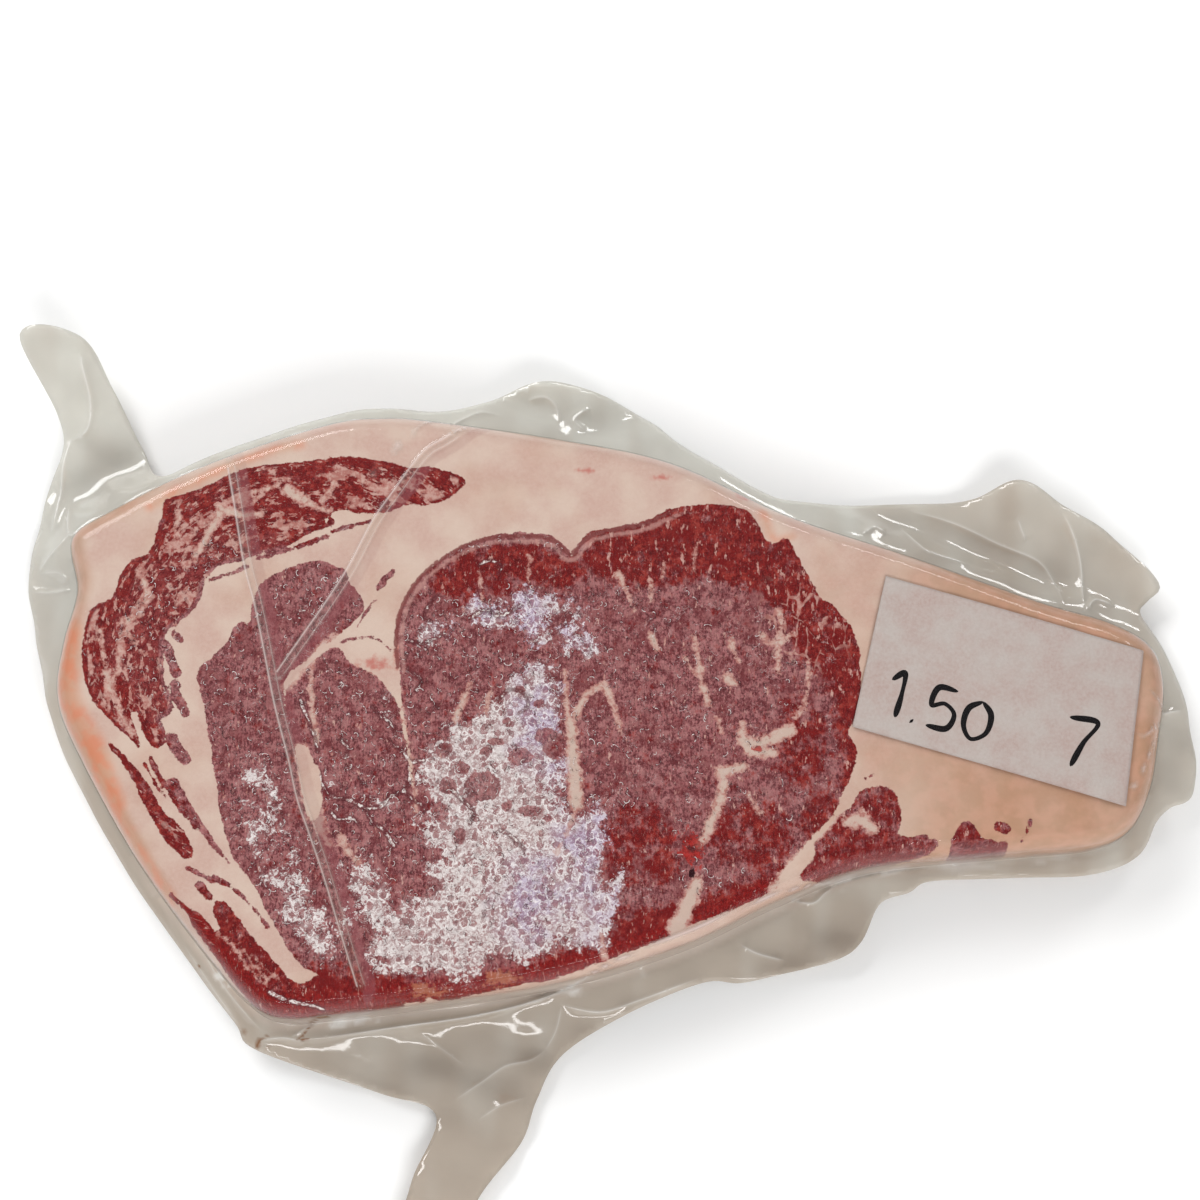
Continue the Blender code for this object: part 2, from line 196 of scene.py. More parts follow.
# Fat seams and veins in the lean: half width in millimetres at the two ends, then photo pixels
FAT_VEINS = [
    (2.1, 1.6, [(576, 803), (575, 780), (573, 750), (571, 722)]),
    (0.9, 0.4, [(570, 722), (566, 700), (565, 670)]),
    (1.2, 1.1, [(577, 715), (585, 698), (596, 688), (604, 684)]),
    (1.1, 0.5, [(604, 684), (611, 700), (617, 718), (621, 733)]),
    (0.8, 0.3, [(576, 803), (572, 820), (562, 842), (547, 870)]),
    (0.9, 0.4, [(618, 573), (626, 589), (634, 611)]),
    (0.5, 0.4, [(650, 580), (651, 600)]),
    (0.6, 1.1, [(694, 636), (698, 660), (702, 682), (708, 703)]),
    (0.5, 0.6, [(684, 658), (691, 668), (699, 676)]),
    (0.8, 0.6, [(731, 642), (733, 652), (739, 661)]),
    (0.7, 0.9, [(779, 610), (781, 631), (777, 642)]),
    (0.9, 0.8, [(763, 636), (777, 643), (792, 635)]),
    (0.9, 0.8, [(777, 643), (779, 671)]),
    (1.6, 1.2, [(728, 679), (734, 683)]),
    (0.4, 0.7, [(808, 659), (808, 682), (804, 705), (796, 717)]),
    (0.9, 1.7, [(742, 722), (743, 738), (757, 744)]),
    (1.7, 1.9, [(757, 744), (772, 739), (789, 731)]),
    (1.7, 1.5, [(743, 740), (753, 752), (772, 752)]),
    (1.8, 1.3, [(722, 772), (733, 769), (745, 766)]),
    (1.5, 1.3, [(722, 772), (723, 787), (718, 805), (711, 823)]),
    (0.6, 0.6, [(748, 795), (754, 804), (761, 815)]),
    (0.6, 0.6, [(718, 719), (722, 733)]),
    (1.2, 0.9, [(651, 636), (657, 649)]),
    (1.6, 1.2, [(711, 823), (704, 838), (698, 846)]),
    (1.7, 2.8, [(697, 880), (690, 900), (677, 930)]),
    (0.7, 1.0, [(601, 935), (605, 958)]),
    (0.5, 0.4, [(530, 556), (528, 584)]),
    (0.5, 0.3, [(480, 571), (482, 604)]),
    (0.5, 0.3, [(663, 560), (661, 582)]),
    (0.4, 0.3, [(696, 545), (694, 572)]),
    (0.9, 1.1, [(470, 685), (462, 705), (455, 722)]),
    (0.7, 0.5, [(490, 690), (487, 715)]),
    (1.0, 1.4, [(337, 636), (322, 646), (310, 660), (300, 672), (286, 686)]),
    (0.7, 0.9, [(311, 662), (311, 690), (313, 720), (317, 742)]),
    (1.8, 2.6, [(300, 748), (306, 775), (312, 800)]),
    (2.6, 0.8, [(312, 800), (318, 822), (330, 845)]),
    (1.2, 0.8, [(340, 835), (347, 850), (358, 862)]),
    (1.0, 1.6, [(356, 660), (368, 668), (384, 676), (396, 690)]),
    (0.5, 0.4, [(400, 700), (407, 740), (414, 785), (416, 812)]),
    (1.1, 0.9, [(772, 890), (786, 870), (801, 853), (826, 828), (840, 812)]),
    (1.4, 1.8, [(846, 822), (860, 819), (873, 829)]),
    (1.6, 1.0, [(855, 824), (862, 812)]),
    (0.4, 0.2, [(217, 932), (233, 947), (248, 968), (267, 986), (278, 998)]),
    (0.3, 0.3, [(251, 955), (265, 968), (280, 982)]),
    (0.3, 0.3, [(240, 946), (254, 966), (268, 980)]),
    (0.9, 0.7, [(178, 512), (177, 530), (180, 540)]),
    (1.5, 1.1, [(221, 508), (214, 524), (206, 538), (200, 550)]),
    (1.4, 1.0, [(221, 508), (232, 512), (246, 515), (262, 513)]),
    (1.0, 0.7, [(200, 550), (192, 558), (185, 566)]),
    (1.6, 1.4, [(286, 489), (296, 496), (306, 500)]),
    (1.0, 0.8, [(306, 500), (318, 508), (330, 510)]),
    (0.9, 0.8, [(336, 482), (330, 492), (322, 500)]),
    (0.7, 0.5, [(252, 492), (270, 488), (288, 478)]),
    (0.9, 0.8, [(142, 578), (147, 590), (145, 606)]),
    (1.0, 0.7, [(138, 614), (128, 622), (126, 632)]),
    (0.7, 0.5, [(122, 619), (132, 640), (145, 655)]),
    (0.7, 0.6, [(100, 630), (103, 652), (106, 672)]),
    (1.2, 0.9, [(106, 672), (110, 690), (117, 706)]),
    (0.9, 0.7, [(117, 706), (125, 722), (134, 736)]),
    (0.5, 0.4, [(84, 641), (96, 637), (104, 640)]),
    (0.8, 0.5, [(118, 650), (118, 668), (112, 682)]),
    (0.6, 0.4, [(360, 480), (372, 486), (390, 488)]),
    (0.6, 0.4, [(400, 478), (412, 488), (428, 492)]),
]

# The silvery sheath over the eye, with the dark line outside it and the pink one within
SHEATH = [
    (398, 668), (396, 640), (399, 616), (407, 596), (418, 580), (432, 566), (447, 556), (462, 547),
    (478, 541), (495, 537), (520, 536), (543, 537), (558, 543), (570, 555), (579, 546), (590, 536),
    (610, 530), (640, 525), (660, 517), (676, 510), (694, 507), (722, 507), (742, 510),
]
SHEATH_HALF_WIDTH = 0.6
SHEATH_INNER_OFFSET = 1.5
SHEATH_INNER_HALF_WIDTH = 0.6

# Where the lean has kept a deep wet red, against the dull mauve of the rest
WET_RED = {
    "eye_back": [
        (586, 530), (640, 515), (690, 498), (745, 500), (790, 530), (830, 595), (865, 640), (870, 760),
        (845, 800), (838, 770), (838, 720), (822, 680), (795, 650), (780, 615), (750, 590), (700, 578),
        (650, 585), (600, 580), (584, 560),
    ],
    "eye_front": [
        (380, 1010), (470, 985), (520, 972), (560, 950), (610, 930), (650, 905), (690, 900), (745, 878),
        (790, 862), (800, 890), (700, 935), (600, 980), (480, 1010),
    ],
    "cap_outer": [
        (480, 450), (300, 440), (200, 470), (150, 500), (100, 560), (70, 620), (60, 700), (110, 760),
        (150, 770), (165, 740), (140, 700), (118, 660), (118, 620), (140, 580), (180, 556), (225, 535),
        (300, 545), (360, 520), (480, 510),
    ],
    "corner": [(180, 900), (230, 890), (290, 960), (400, 975), (400, 1010), (260, 1030), (190, 930)],
    "tail_strip": [(90, 730), (130, 740), (200, 830), (200, 870), (150, 840)],
    "eye_top_left": [(430, 570), (500, 545), (560, 550), (590, 575), (560, 590), (500, 580), (450, 600)],
}
WET_RED_SOFTNESS = 7.0

# White smears of fat and trapped air between film and meat, with painted glare of the lamps on them
FROST_HEAVY = [
    (497, 692), (520, 674), (546, 668), (560, 688), (556, 720), (562, 750), (561, 790), (577, 803),
    (598, 796), (608, 820), (613, 860), (616, 900), (606, 938), (560, 950), (540, 962), (515, 960),
    (490, 950), (478, 975), (450, 981), (420, 968), (397, 976), (380, 966), (362, 925), (346, 880),
    (350, 862), (366, 872), (385, 885), (408, 900), (428, 892), (436, 866), (424, 838), (428, 800),
    (420, 775), (430, 745), (455, 722), (478, 712),
]
FROST_PATCHES = [
    [(236, 772), (262, 760), (290, 790), (306, 850), (338, 930), (352, 976), (330, 972), (290, 938),
     (262, 890), (240, 850), (228, 810)],
    [(404, 645), (420, 622), (450, 602), (500, 588), (545, 590), (580, 604), (604, 640), (584, 662),
     (520, 646), (470, 634), (436, 646), (418, 668)],
    [(376, 684), (396, 690), (400, 716), (392, 730), (378, 720)],
    [(320, 772), (350, 778), (372, 794), (398, 792), (412, 780), (424, 790), (408, 806), (380, 812),
     (350, 800), (324, 792)],
]
FROST_PATCH_DEPTH = 3.5
GLASS_LINES = [
    (0.30, 0.25, [(319, 772), (322, 786), (334, 797), (350, 800), (366, 808), (382, 806), (390, 796),
                  (403, 791), (410, 778), (408, 766)]),
    (0.22, 0.30, [(366, 808), (372, 822), (384, 830), (394, 846)]),
    (0.22, 0.20, [(403, 791), (414, 800), (424, 806)]),
    (0.25, 0.15, [(300, 700), (312, 730), (318, 752)]),
    (0.30, 0.25, [(470, 618), (486, 610), (500, 616), (520, 606)]),
    (0.5, 0.2, [(270, 992), (285, 1000), (305, 1004), (322, 1009)]),
    (0.2, 0.15, [(436, 596), (430, 604), (424, 616), (432, 622)]),
    (0.2, 0.15, [(478, 566), (490, 560), (502, 566), (498, 574)]),
    (0.3, 0.15, [(408, 640), (420, 644), (432, 640), (444, 634)]),
    (0.2, 0.15, [(412, 672), (422, 680), (416, 690)]),
    (0.2, 0.15, [(498, 700), (510, 690), (524, 694), (528, 706), (518, 714)]),
    (0.25, 0.15, [(452, 790), (462, 800), (474, 812), (470, 824)]),
    (0.2, 0.15, [(500, 830), (514, 838), (524, 850)]),
    (0.25, 0.20, [(330, 812), (340, 820), (352, 818), (360, 826)]),
    (0.2, 0.15, [(372, 706), (380, 716), (390, 722), (396, 736)]),
    (0.2, 0.15, [(340, 740), (348, 748), (345, 758)]),
    (0.25, 0.20, [(394, 745), (404, 752), (410, 762), (424, 760)]),
]
CLEAR_ISLANDS = [
    (482, 787, 19, 15), (530, 811, 13, 6), (440, 811, 9, 10), (460, 836, 7, 10), (447, 786, 9, 9),
    (422, 886, 22, 11), (520, 757, 12, 9), (546, 736, 12, 8), (470, 802, 8, 6), (506, 806, 6, 5),
    (462, 768, 8, 7), (444, 750, 9, 8), (486, 752, 6, 5), (414, 858, 13, 20), (548, 818, 5, 4),
    (552, 745, 10, 12), (466, 720, 7, 8), (508, 722, 5, 5), (496, 742, 7, 4), (400, 838, 9, 22),
    (540, 704, 6, 5), (520, 690, 6, 5),
]

# Film pleats over the face: where the film stands off the meat, with the dark smooth band beside each, its
# dark partly the pleat's painted shade
PLEATS = {
    "long": [
        (227, 462), (234, 502), (244, 563), (255, 606), (265, 655), (275, 706), (288, 757), (297, 798),
        (308, 830), (323, 874), (336, 917), (346, 950), (357, 986),
    ],
    "short": [
        (476, 416), (448, 436), (423, 452), (395, 489), (372, 522), (349, 566), (326, 602), (305, 632),
        (277, 672),
    ],
}
PLEAT_HEIGHT = 0.22
PLEAT_HALF_WIDTH = 0.7
RIBBON_WIDTH = 1.9
BAND_LIFT = 0.15
BAND_OFFSET = 3.4
BAND_HALF_WIDTH = 1.6

# Crease lines in the spare film: height, half width in millimetres, then photo pixels
CREASES = [
    (2.2, 1.0, [(292, 1040), (330, 1037), (400, 1027), (470, 1017), (530, 1003), (576, 985), (612, 966),
                (650, 950), (700, 930), (770, 900), (830, 885), (890, 872), (950, 858)]),
    (2.0, 1.4, [(70, 438), (62, 466), (57, 498), (50, 530)]),
    (1.6, 1.0, [(67, 505), (70, 534), (78, 540)]),
    (1.4, 1.0, [(75, 534), (56, 552), (36, 572)]),
    (1.3, 0.9, [(32, 590), (52, 592), (72, 592)]),
    (1.0, 1.0, [(38, 572), (60, 574), (71, 585)]),
    (1.6, 1.2, [(86, 362), (92, 400), (88, 430), (70, 440)]),
    (1.4, 1.2, [(378, 500), (423, 451), (474, 418), (500, 418)]),
    (1.2, 1.0, [(528, 402), (545, 400), (556, 408), (560, 425)]),
    (1.2, 1.2, [(585, 432), (575, 420), (590, 408)]),
    (1.4, 1.6, [(912, 508), (950, 520), (1000, 543), (1040, 562), (1056, 585), (1062, 606)]),
    (1.5, 1.6, [(902, 526), (918, 545), (930, 554), (970, 566)]),
    (1.3, 1.2, [(862, 536), (875, 527), (886, 534)]),
    (1.6, 1.4, [(1060, 516), (1076, 545), (1082, 570), (1082, 608)]),
    (1.2, 1.2, [(1018, 520), (1026, 540)]),
    (1.4, 1.1, [(1113, 606), (1095, 600), (1084, 612)]),
    (1.6, 1.2, [(1130, 700), (1150, 716), (1180, 712)]),
    (1.4, 1.0, [(1122, 752), (1138, 738), (1160, 728)]),
    (1.3, 1.0, [(1100, 812), (1120, 790), (1140, 745)]),
    (1.0, 1.6, [(545, 1050), (530, 1060), (505, 1066), (484, 1080), (455, 1100)]),
    (0.8, 2.0, [(545, 1050), (556, 1030), (562, 1005)]),
    (0.6, 1.2, [(420, 1032), (440, 1048), (462, 1064)]),
    (0.7, 1.6, [(478, 1120), (500, 1106), (524, 1098)]),
    (1.4, 1.6, [(778, 900), (792, 902), (812, 904), (824, 894), (840, 882)]),
    (1.3, 1.8, [(740, 945), (756, 953), (785, 960)]),
    (1.3, 1.6, [(560, 1005), (600, 1012), (640, 1000), (700, 978)]),
    (1.2, 1.0, [(190, 930), (207, 956), (224, 984), (246, 1012), (262, 1030)]),
    (0.9, 0.8, [(186, 946), (202, 970), (222, 1000), (240, 1026)]),
    (1.0, 0.7, [(292, 1038), (312, 1026), (330, 1020)]),
    (1.2, 1.0, [(262, 1040), (285, 1038), (306, 1042)]),
]

# Meat juice gone brown in the corner of the bag: half widths in millimetres, then photo pixels
JUICE_LINES = [
    (0.4, 0.3, [(256, 1048), (261, 1040), (270, 1036)]),
    (0.3, 0.4, [(262, 1049), (267, 1047)]),
    (0.3, 0.4, [(298, 1040), (304, 1036), (311, 1027), (322, 1020), (333, 1018)]),
    (0.5, 0.3, [(303, 1040), (310, 1039)]),
    (0.4, 0.4, [(241, 1031), (244, 1033)]),
    (0.4, 0.4, [(200, 966), (203, 968)]),
]

# Fineness of the meshes, in millimetres
FACE_GRID = 0.82
OUTLINE_STEP = 1.1
UNDERSIDE_GRID = 2.6
FILM_FACE_GRID = 1.9
FILM_SKIRT_GRID = 1.45
FILM_EDGE_STEP = 1.3
CURVE_STEPS = 12
WALL_ANGLES = np.arange(5, 91, 5)
LOW_WALL_ANGLES = (15, 30, 45, 60, 75, 90)
FILM_WALL_ANGLES = (8, 16, 24, 32, 40, 48, 56, 64, 72, 80, 90)

# Gaps between what is shown, in millimetres
FILM_SHEET = 0.12
FILM_LIFT = 0.28
FILM_SIDE = 0.3
PLY_SHEET = 0.25
STEAK_REST = 0.5
LABEL_LIFT = 0.22
LABEL_SHEET = 0.22
CHUNK = 20000
REACH = 9.0
FAR = -99.0
CREASE_HEIGHT = SKIRT_HEIGHT + 3.0
CREASE_RISE = 0.72


def px(points, height=FACE_HEIGHT):
    """Photo pixels to millimetres on a level plane, through the camera."""
    uv = np.array(points, float)
    focal = CAMERA_DISTANCE / MM_PER_PIXEL
    side = (uv[:, 0] - PHOTO_CENTRE) / focal
    rise = (PHOTO_CENTRE - uv[:, 1]) / focal
    cos, sin = math.cos(CAMERA_TILT), math.sin(CAMERA_TILT)
    eye = np.array([0.0, -CAMERA_DISTANCE * sin, AIM_HEIGHT + CAMERA_DISTANCE * cos])
    ray_y = rise * cos + sin
    ray_z = rise * sin - cos
    reach = (height - eye[2]) / ray_z
    return np.stack([eye[0] + reach * side, eye[1] + reach * ray_y], 1)


def smooth_loop(corners, step):
    """An even run of points along the closed curve that passes through the corners."""
    p = np.array(corners, float)
    before, after, beyond = np.roll(p, 1, 0), np.roll(p, -1, 0), np.roll(p, -2, 0)
    dense = []
    for t in np.linspace(0, 1, CURVE_STEPS, endpoint=False):
        dense.append(
            0.5 * (2 * p + (after - before) * t + (2 * before - 5 * p + 4 * after - beyond) * t**2
                   + (3 * p - before - 3 * after + beyond) * t**3)
        )
    curve = np.stack(dense, 1).reshape(-1, 2)
    closed = np.vstack([curve, curve[:1]])
    run = np.concatenate([[0], np.cumsum(np.linalg.norm(np.diff(closed, axis=0), axis=1))])
    at = np.linspace(0, run[-1], int(round(run[-1] / step)), endpoint=False)
    return np.stack([np.interp(at, run, closed[:, 0]), np.interp(at, run, closed[:, 1])], 1)


def smooth_path(corners, step=1.0):
    """An even run of points along the open curve through the corners."""
    p = np.array(corners, float)
    ends = np.vstack([2 * p[0] - p[1], p, 2 * p[-1] - p[-2]])
    run = np.concatenate([[0], np.cumsum(np.linalg.norm(np.diff(p, axis=0), axis=1))])
    parts = []
    for i in range(len(p) - 1):
        a, b, c, d = ends[i : i + 4]
        t = np.linspace(0, 1, max(2, int((run[i + 1] - run[i]) / step) + 1), endpoint=False)[:, None]
        parts.append(0.5 * (2 * b + (c - a) * t + (2 * a - 5 * b + 4 * c - d) * t**2
                            + (3 * b - a - 3 * c + d) * t**3))
    return np.vstack([*parts, p[-1:]])


def depth_inside(points, loop):
    """Distance from each point to the loop: positive inside it, negative outside."""
    a, b = loop, np.roll(loop, -1, 0)
    along = b - a
    length = np.maximum((along * along).sum(1), 1e-9)
    rise = np.where(along[:, 1] == 0, 1e-9, along[:, 1])
    found = []
    for start in range(0, len(points), CHUNK):
        p = points[start : start + CHUNK]
        to_x = p[:, 0:1] - a[:, 0]
        to_y = p[:, 1:2] - a[:, 1]
        share = np.clip((to_x * along[:, 0] + to_y * along[:, 1]) / length, 0, 1)
        squared = (to_x - share * along[:, 0]) ** 2 + (to_y - share * along[:, 1]) ** 2
        distance = np.sqrt(squared.min(1))
        straddles = (a[:, 1] > p[:, 1:2]) != (b[:, 1] > p[:, 1:2])
        crosses = straddles & (to_x < to_y / rise * along[:, 0])
        found.append(np.where(crosses.sum(1) % 2 == 1, distance, -distance))
    return np.concatenate(found)


def near_path(points, path):
    """For each point: distance to the path, the share of the path's run there, and which side it is on."""
    a, along = path[:-1], np.diff(path, axis=0)
    length = np.maximum((along * along).sum(1), 1e-9)
    distances, shares, sides = [], [], []
    for start in range(0, len(points), CHUNK):
        p = points[start : start + CHUNK]
        to_x = p[:, 0:1] - a[:, 0]
        to_y = p[:, 1:2] - a[:, 1]
        share = np.clip((to_x * along[:, 0] + to_y * along[:, 1]) / length, 0, 1)
        squared = (to_x - share * along[:, 0]) ** 2 + (to_y - share * along[:, 1]) ** 2
        nearest = squared.argmin(1)
        row = np.arange(len(p))
        distances.append(np.sqrt(squared[row, nearest]))
        shares.append((nearest + share[row, nearest]) / len(a))
        turn = along[nearest, 0] * to_y[row, nearest] - along[nearest, 1] * to_x[row, nearest]
        sides.append(np.sign(turn))
    return np.concatenate(distances), np.concatenate(shares), np.concatenate(sides)


def lattice_noise(points, wavelength, seed):
    """Smooth random hills and dips between -1 and 1, about one wavelength across."""
    size = 256
    table = np.random.RandomState(seed).uniform(-1, 1, (size, size))
    q = points / wavelength
    cell = np.floor(q).astype(int)
    t = q - cell
    t = t * t * (3 - 2 * t)
    i, j = cell[:, 0] % size, cell[:, 1] % size
    i2, j2 = (i + 1) % size, (j + 1) % size
    low = table[i, j] * (1 - t[:, 0]) + table[i2, j] * t[:, 0]
    high = table[i, j2] * (1 - t[:, 0]) + table[i2, j2] * t[:, 0]
    return low * (1 - t[:, 1]) + high * t[:, 1]


def outward_normals(loop):
    """Unit normals of a clockwise loop, pointing away from what it encloses."""
    tangent = np.roll(loop, -1, 0) - np.roll(loop, 1, 0)
    tangent /= np.linalg.norm(tangent, axis=1)[:, None]
    return np.stack([-tangent[:, 1], tangent[:, 0]], 1)


def honeycomb(loop, spacing):
    """Staggered grid points over the loop's bounding box."""
    low, high = loop.min(0), loop.max(0)
    rows = np.arange(low[1], high[1], spacing * math.sin(math.radians(60)))
    columns = np.arange(low[0], high[0], spacing)
    x = np.tile(columns, len(rows)) + np.repeat(np.arange(len(rows)) % 2 * spacing / 2, len(columns))
    return np.stack([x, np.repeat(rows, len(columns))], 1)


def ring(loop, inset):
    """The loop moved inwards by inset, less the points that a tight corner would fold over."""
    moved = loop - outward_normals(loop) * inset
    return moved[depth_inside(moved, loop) > inset - 0.012 - 0.02 * abs(inset)]


def rounding(depth, radius):
    """Share of the full height at a depth inside an edge rounded as a quarter circle."""
    t = np.clip(depth / radius, 0, 1)
    return np.sqrt(1 - (1 - t) ** 2)


def rounding_insets(radius, angles):
    return [radius * (1 - math.cos(math.radians(angle))) for angle in angles]


def smooth_step(value, low, high):
    t = np.clip((value - low) / (high - low), 0, 1)
    return t * t * (3 - 2 * t)


def faded(share, length):
    """1 along a line, falling to nothing at its two ends."""
    return smooth_step(share, -0.05, length) * smooth_step(1 - share, -0.05, length)


OUTLINE = smooth_loop(STEAK_OUTLINE, OUTLINE_STEP)
FREE_EDGE = smooth_loop(BAG_OUTLINE, FILM_EDGE_STEP)
BOX_MIDDLE = (STEAK_LOW + STEAK_HIGH)[:2] / 2
PLAN_SHIFT = BOX_MIDDLE - (OUTLINE.min(0) + OUTLINE.max(0)) / 2


def top_level(points):
    """Height of the solid's cut face: a low crown over the eye, sinking towards the tail."""
    x, y = points[:, 0], points[:, 1]
    across = (x - CROWN_CENTRE[0]) / CROWN_SPREAD[0]
    along = (y - CROWN_CENTRE[1]) / CROWN_SPREAD[1]
    crown = CROWN_RISE * (np.exp(-(across**2) - along**2) - 1)
    tail = TAIL_SINK * np.clip((x - TAIL_START) / TAIL_LENGTH, 0, 1) ** 2
    corner = CORNER_SINK * np.clip((CORNER_START - x) / CORNER_LENGTH, 0, 1) ** 2
    return STEAK_TOP + crown - tail - corner


def flap_rise(points, root, tip, half_width, rise):
    x, y = points[:, 0], points[:, 1]
    along = np.subtract(tip, root)
    reach = np.linalg.norm(along)
    way = along / reach
    t = np.clip(((x - root[0]) * way[0] + (y - root[1]) * way[1]) / reach, 0, FLAP_REACH)
    aside = (x - root[0]) * way[1] - (y - root[1]) * way[0]
    return rise * t**FLAP_CURL * np.exp(-((aside / half_width) ** 2))


def skirt_height(points, out):
    """Upper side of the spare film at a distance out from the seam, as the solid has it."""
    x, y = points[:, 0], points[:, 1]
    low = SKIRT_REST + BAG_THICKNESS
    height = low + (SEAM_HEIGHT - low) * np.exp(-((out / SKIRT_FALL) ** 2))
    for root, tip, half_width, rise in FLAPS.values():
        height = height + flap_rise(points, root, tip, half_width, rise)
    long_wave, short_wave = RIPPLE_LENGTHS
    long_ripple = np.sin(x * 2 * np.pi / long_wave + y / RIPPLE_SLANT)
    short_ripple = np.sin(y * 2 * np.pi / short_wave + RIPPLE_START)
    return height + RIPPLE_HEIGHT * long_ripple * short_ripple * np.clip(out / SKIRT_FALL, 0, 1)


def fill(edge_loop, inner_points):
    """Points and triangles that fill the loop and use every inner point."""
    points = [Vector(p) for p in np.vstack([edge_loop, inner_points])]
    filled = delaunay_2d_cdt(points, [], [list(range(len(edge_loop)))], 1, 1e-5)
    return np.array([tuple(v) for v in filled[0]]), np.array(filled[2])


def facing(points, triangles, up):
    """The triangles, each turned to face up or down."""
    a, b, c = (points[triangles[:, k]] for k in range(3))
    turn = (b[:, 0] - a[:, 0]) * (c[:, 1] - a[:, 1]) - (b[:, 1] - a[:, 1]) * (c[:, 0] - a[:, 0])
    wrong = (turn > 0) != up
    turned = triangles.copy()
    turned[wrong] = turned[wrong][:, ::-1]
    return turned


def place_in_row(plan, heights):
    """Plan points and heights in millimetres to the row's metres."""
    return np.column_stack([plan + PLAN_SHIFT, heights]) * MM


def facing_out(name, body):
    """A smooth mesh made from the body's faces, each turned outwards."""
    bmesh.ops.recalc_face_normals(body, faces=body.faces)
    mesh = bpy.data.meshes.new(name)
    body.to_mesh(mesh)
    body.free()
    mesh.shade_smooth()
    return mesh


def solid_mesh(name, verts, faces):
    """A closed smooth mesh from points in metres and faces of point numbers."""
    rough = bpy.data.meshes.new(name + "_rough")
    rough.from_pydata(verts.tolist(), [], faces)
    body = bmesh.new()
    body.from_mesh(rough)
    bpy.data.meshes.remove(rough)
    return facing_out(name, body)


def closed_sheets(name, upper, lower, edge_count, fields):
    """A closed mesh between two height sheets that share their edge's plan, with its point fields."""
    (top_plan, top_height, top_faces), (low_plan, low_height, low_faces) = upper, lower
    verts = np.vstack([place_in_row(top_plan, top_height), place_in_row(low_plan, low_height)])
    count = len(top_plan)
    faces = [facing(top_plan, top_faces, True), facing(low_plan, low_faces, False) + count]
    i = np.arange(edge_count)
    j = (i + 1) % edge_count
    faces += [np.stack([i, j, count + j], 1), np.stack([i, count + j, count + i], 1)]
    mesh = solid_mesh(name, verts, np.vstack(faces).tolist())
    plan = np.vstack([top_plan, low_plan])
    for key, make in fields.items():
        values = np.asarray(make(plan), np.float32)
        kind = "FLOAT" if values.ndim == 1 else "FLOAT_VECTOR"
        attribute = mesh.attributes.new(key, kind, "POINT")
        attribute.data.foreach_set("value" if values.ndim == 1 else "vector", values.ravel())
    return mesh


def close_to(points, line, margin=REACH):
    """Which points lie in the line's bounding box, grown by the margin."""
    return ((points > line.min(0) - margin) & (points < line.max(0) + margin)).all(1)


def stroke_field(points, corners, value, height=FACE_HEIGHT):
    """value(distance, share, side) beside the drawn line, and far below zero away from it."""
    path = smooth_path(px(corners, height))
    near = close_to(points, path)
    found = np.full(len(points), FAR)
    if near.any():
        found[near] = value(*near_path(points[near], path))
    return found


def loop_depth(points, corners, step=1.5):
    """Distance inside the closed outline drawn in photo pixels, far below zero away from it."""
    loop = smooth_loop(px(corners), step)
    near = close_to(points, loop)
    found = np.full(len(points), FAR)
    if near.any():
        found[near] = depth_inside(points[near], loop)
    return found


def strokes_depth(points, strokes, height=FACE_HEIGHT):
    """How deep each point is inside the nearest of the strokes, negative outside them all."""
    fields = []
    for start, end, corners in strokes:
        def inside(distance, share, side):
            return start + (end - start) * share - distance

        fields.append(stroke_field(points, corners, inside, height))
    return np.max(fields, axis=0)


def lean_depth(points):
    """Distance inside the lean: muscles and lean strips."""
    muscles = np.max([loop_depth(points, outline) for outline in MUSCLES], axis=0)
    return np.maximum(muscles, strokes_depth(points, LEAN_STRIPS))


def sheath_thinning(share):
    """How much thinner the sheath's lines get, in millimetres, towards their far end."""
    return 1.3 * smooth_step(share, 0.8, 1.0)


def sheath_field(points):
    """Positive inside the dark line round the eye."""
    return stroke_field(
        points, SHEATH, lambda distance, share, side: SHEATH_HALF_WIDTH - sheath_thinning(share) - distance
    )


def sheath_inner_field(points):
    """Positive inside the pink line that runs within the dark one."""
    line = stroke_field(
        points, SHEATH,
        lambda distance, share, side: (
            SHEATH_INNER_HALF_WIDTH - sheath_thinning(share) - np.abs(distance - SHEATH_INNER_OFFSET)
        ),
    )
    return np.where(loop_depth(points, EYE) > 0, line, FAR)


def wet_field(points):
    """Where the lean is deep red: 0 in the mauve, 1 well inside the red."""
    depth = np.max([loop_depth(points, outline, 3.0) for outline in WET_RED.values()], axis=0)
    dusky = 0.72 * smooth_step(ellipse_field(points, DUSKY_SPOTS), 0.0, 0.6)
    return np.maximum(smooth_step(depth, -WET_RED_SOFTNESS * 0.5, WET_RED_SOFTNESS * 0.5), dusky)


def pleat_band(points):
    """How deep a point is inside the smooth band beside a pleat."""
    def inside(distance, share, side):
        return BAND_HALF_WIDTH - np.abs(distance * side - BAND_OFFSET)

    return np.max([stroke_field(points, corners, inside) for corners in PLEATS.values()], axis=0)


def smear_glare_depth(points):
    """How deep a point is inside the white smears of fat and air, with their painted glare, in millimetres.
    """
    depth = loop_depth(points, FROST_HEAVY)
    for outline in FROST_PATCHES:
        patch = loop_depth(points, outline)
        depth = np.maximum(depth, np.minimum(patch, FROST_PATCH_DEPTH) - FROST_PATCH_DEPTH)
    return np.minimum(depth, -pleat_band(points))


def island_depth(points):
    """How deep a point is inside the clear islands in the white smears, in millimetres."""
    depth = np.full(len(points), FAR)
    for u, v, half_u, half_v in CLEAR_ISLANDS:
        centre = px([(u, v)])[0]
        radii = np.array([half_u, half_v]) * MM_PER_PIXEL
        reach = np.linalg.norm((points - centre) / radii, axis=1)
        depth = np.maximum(depth, (1 - reach) * radii.min())
    return depth


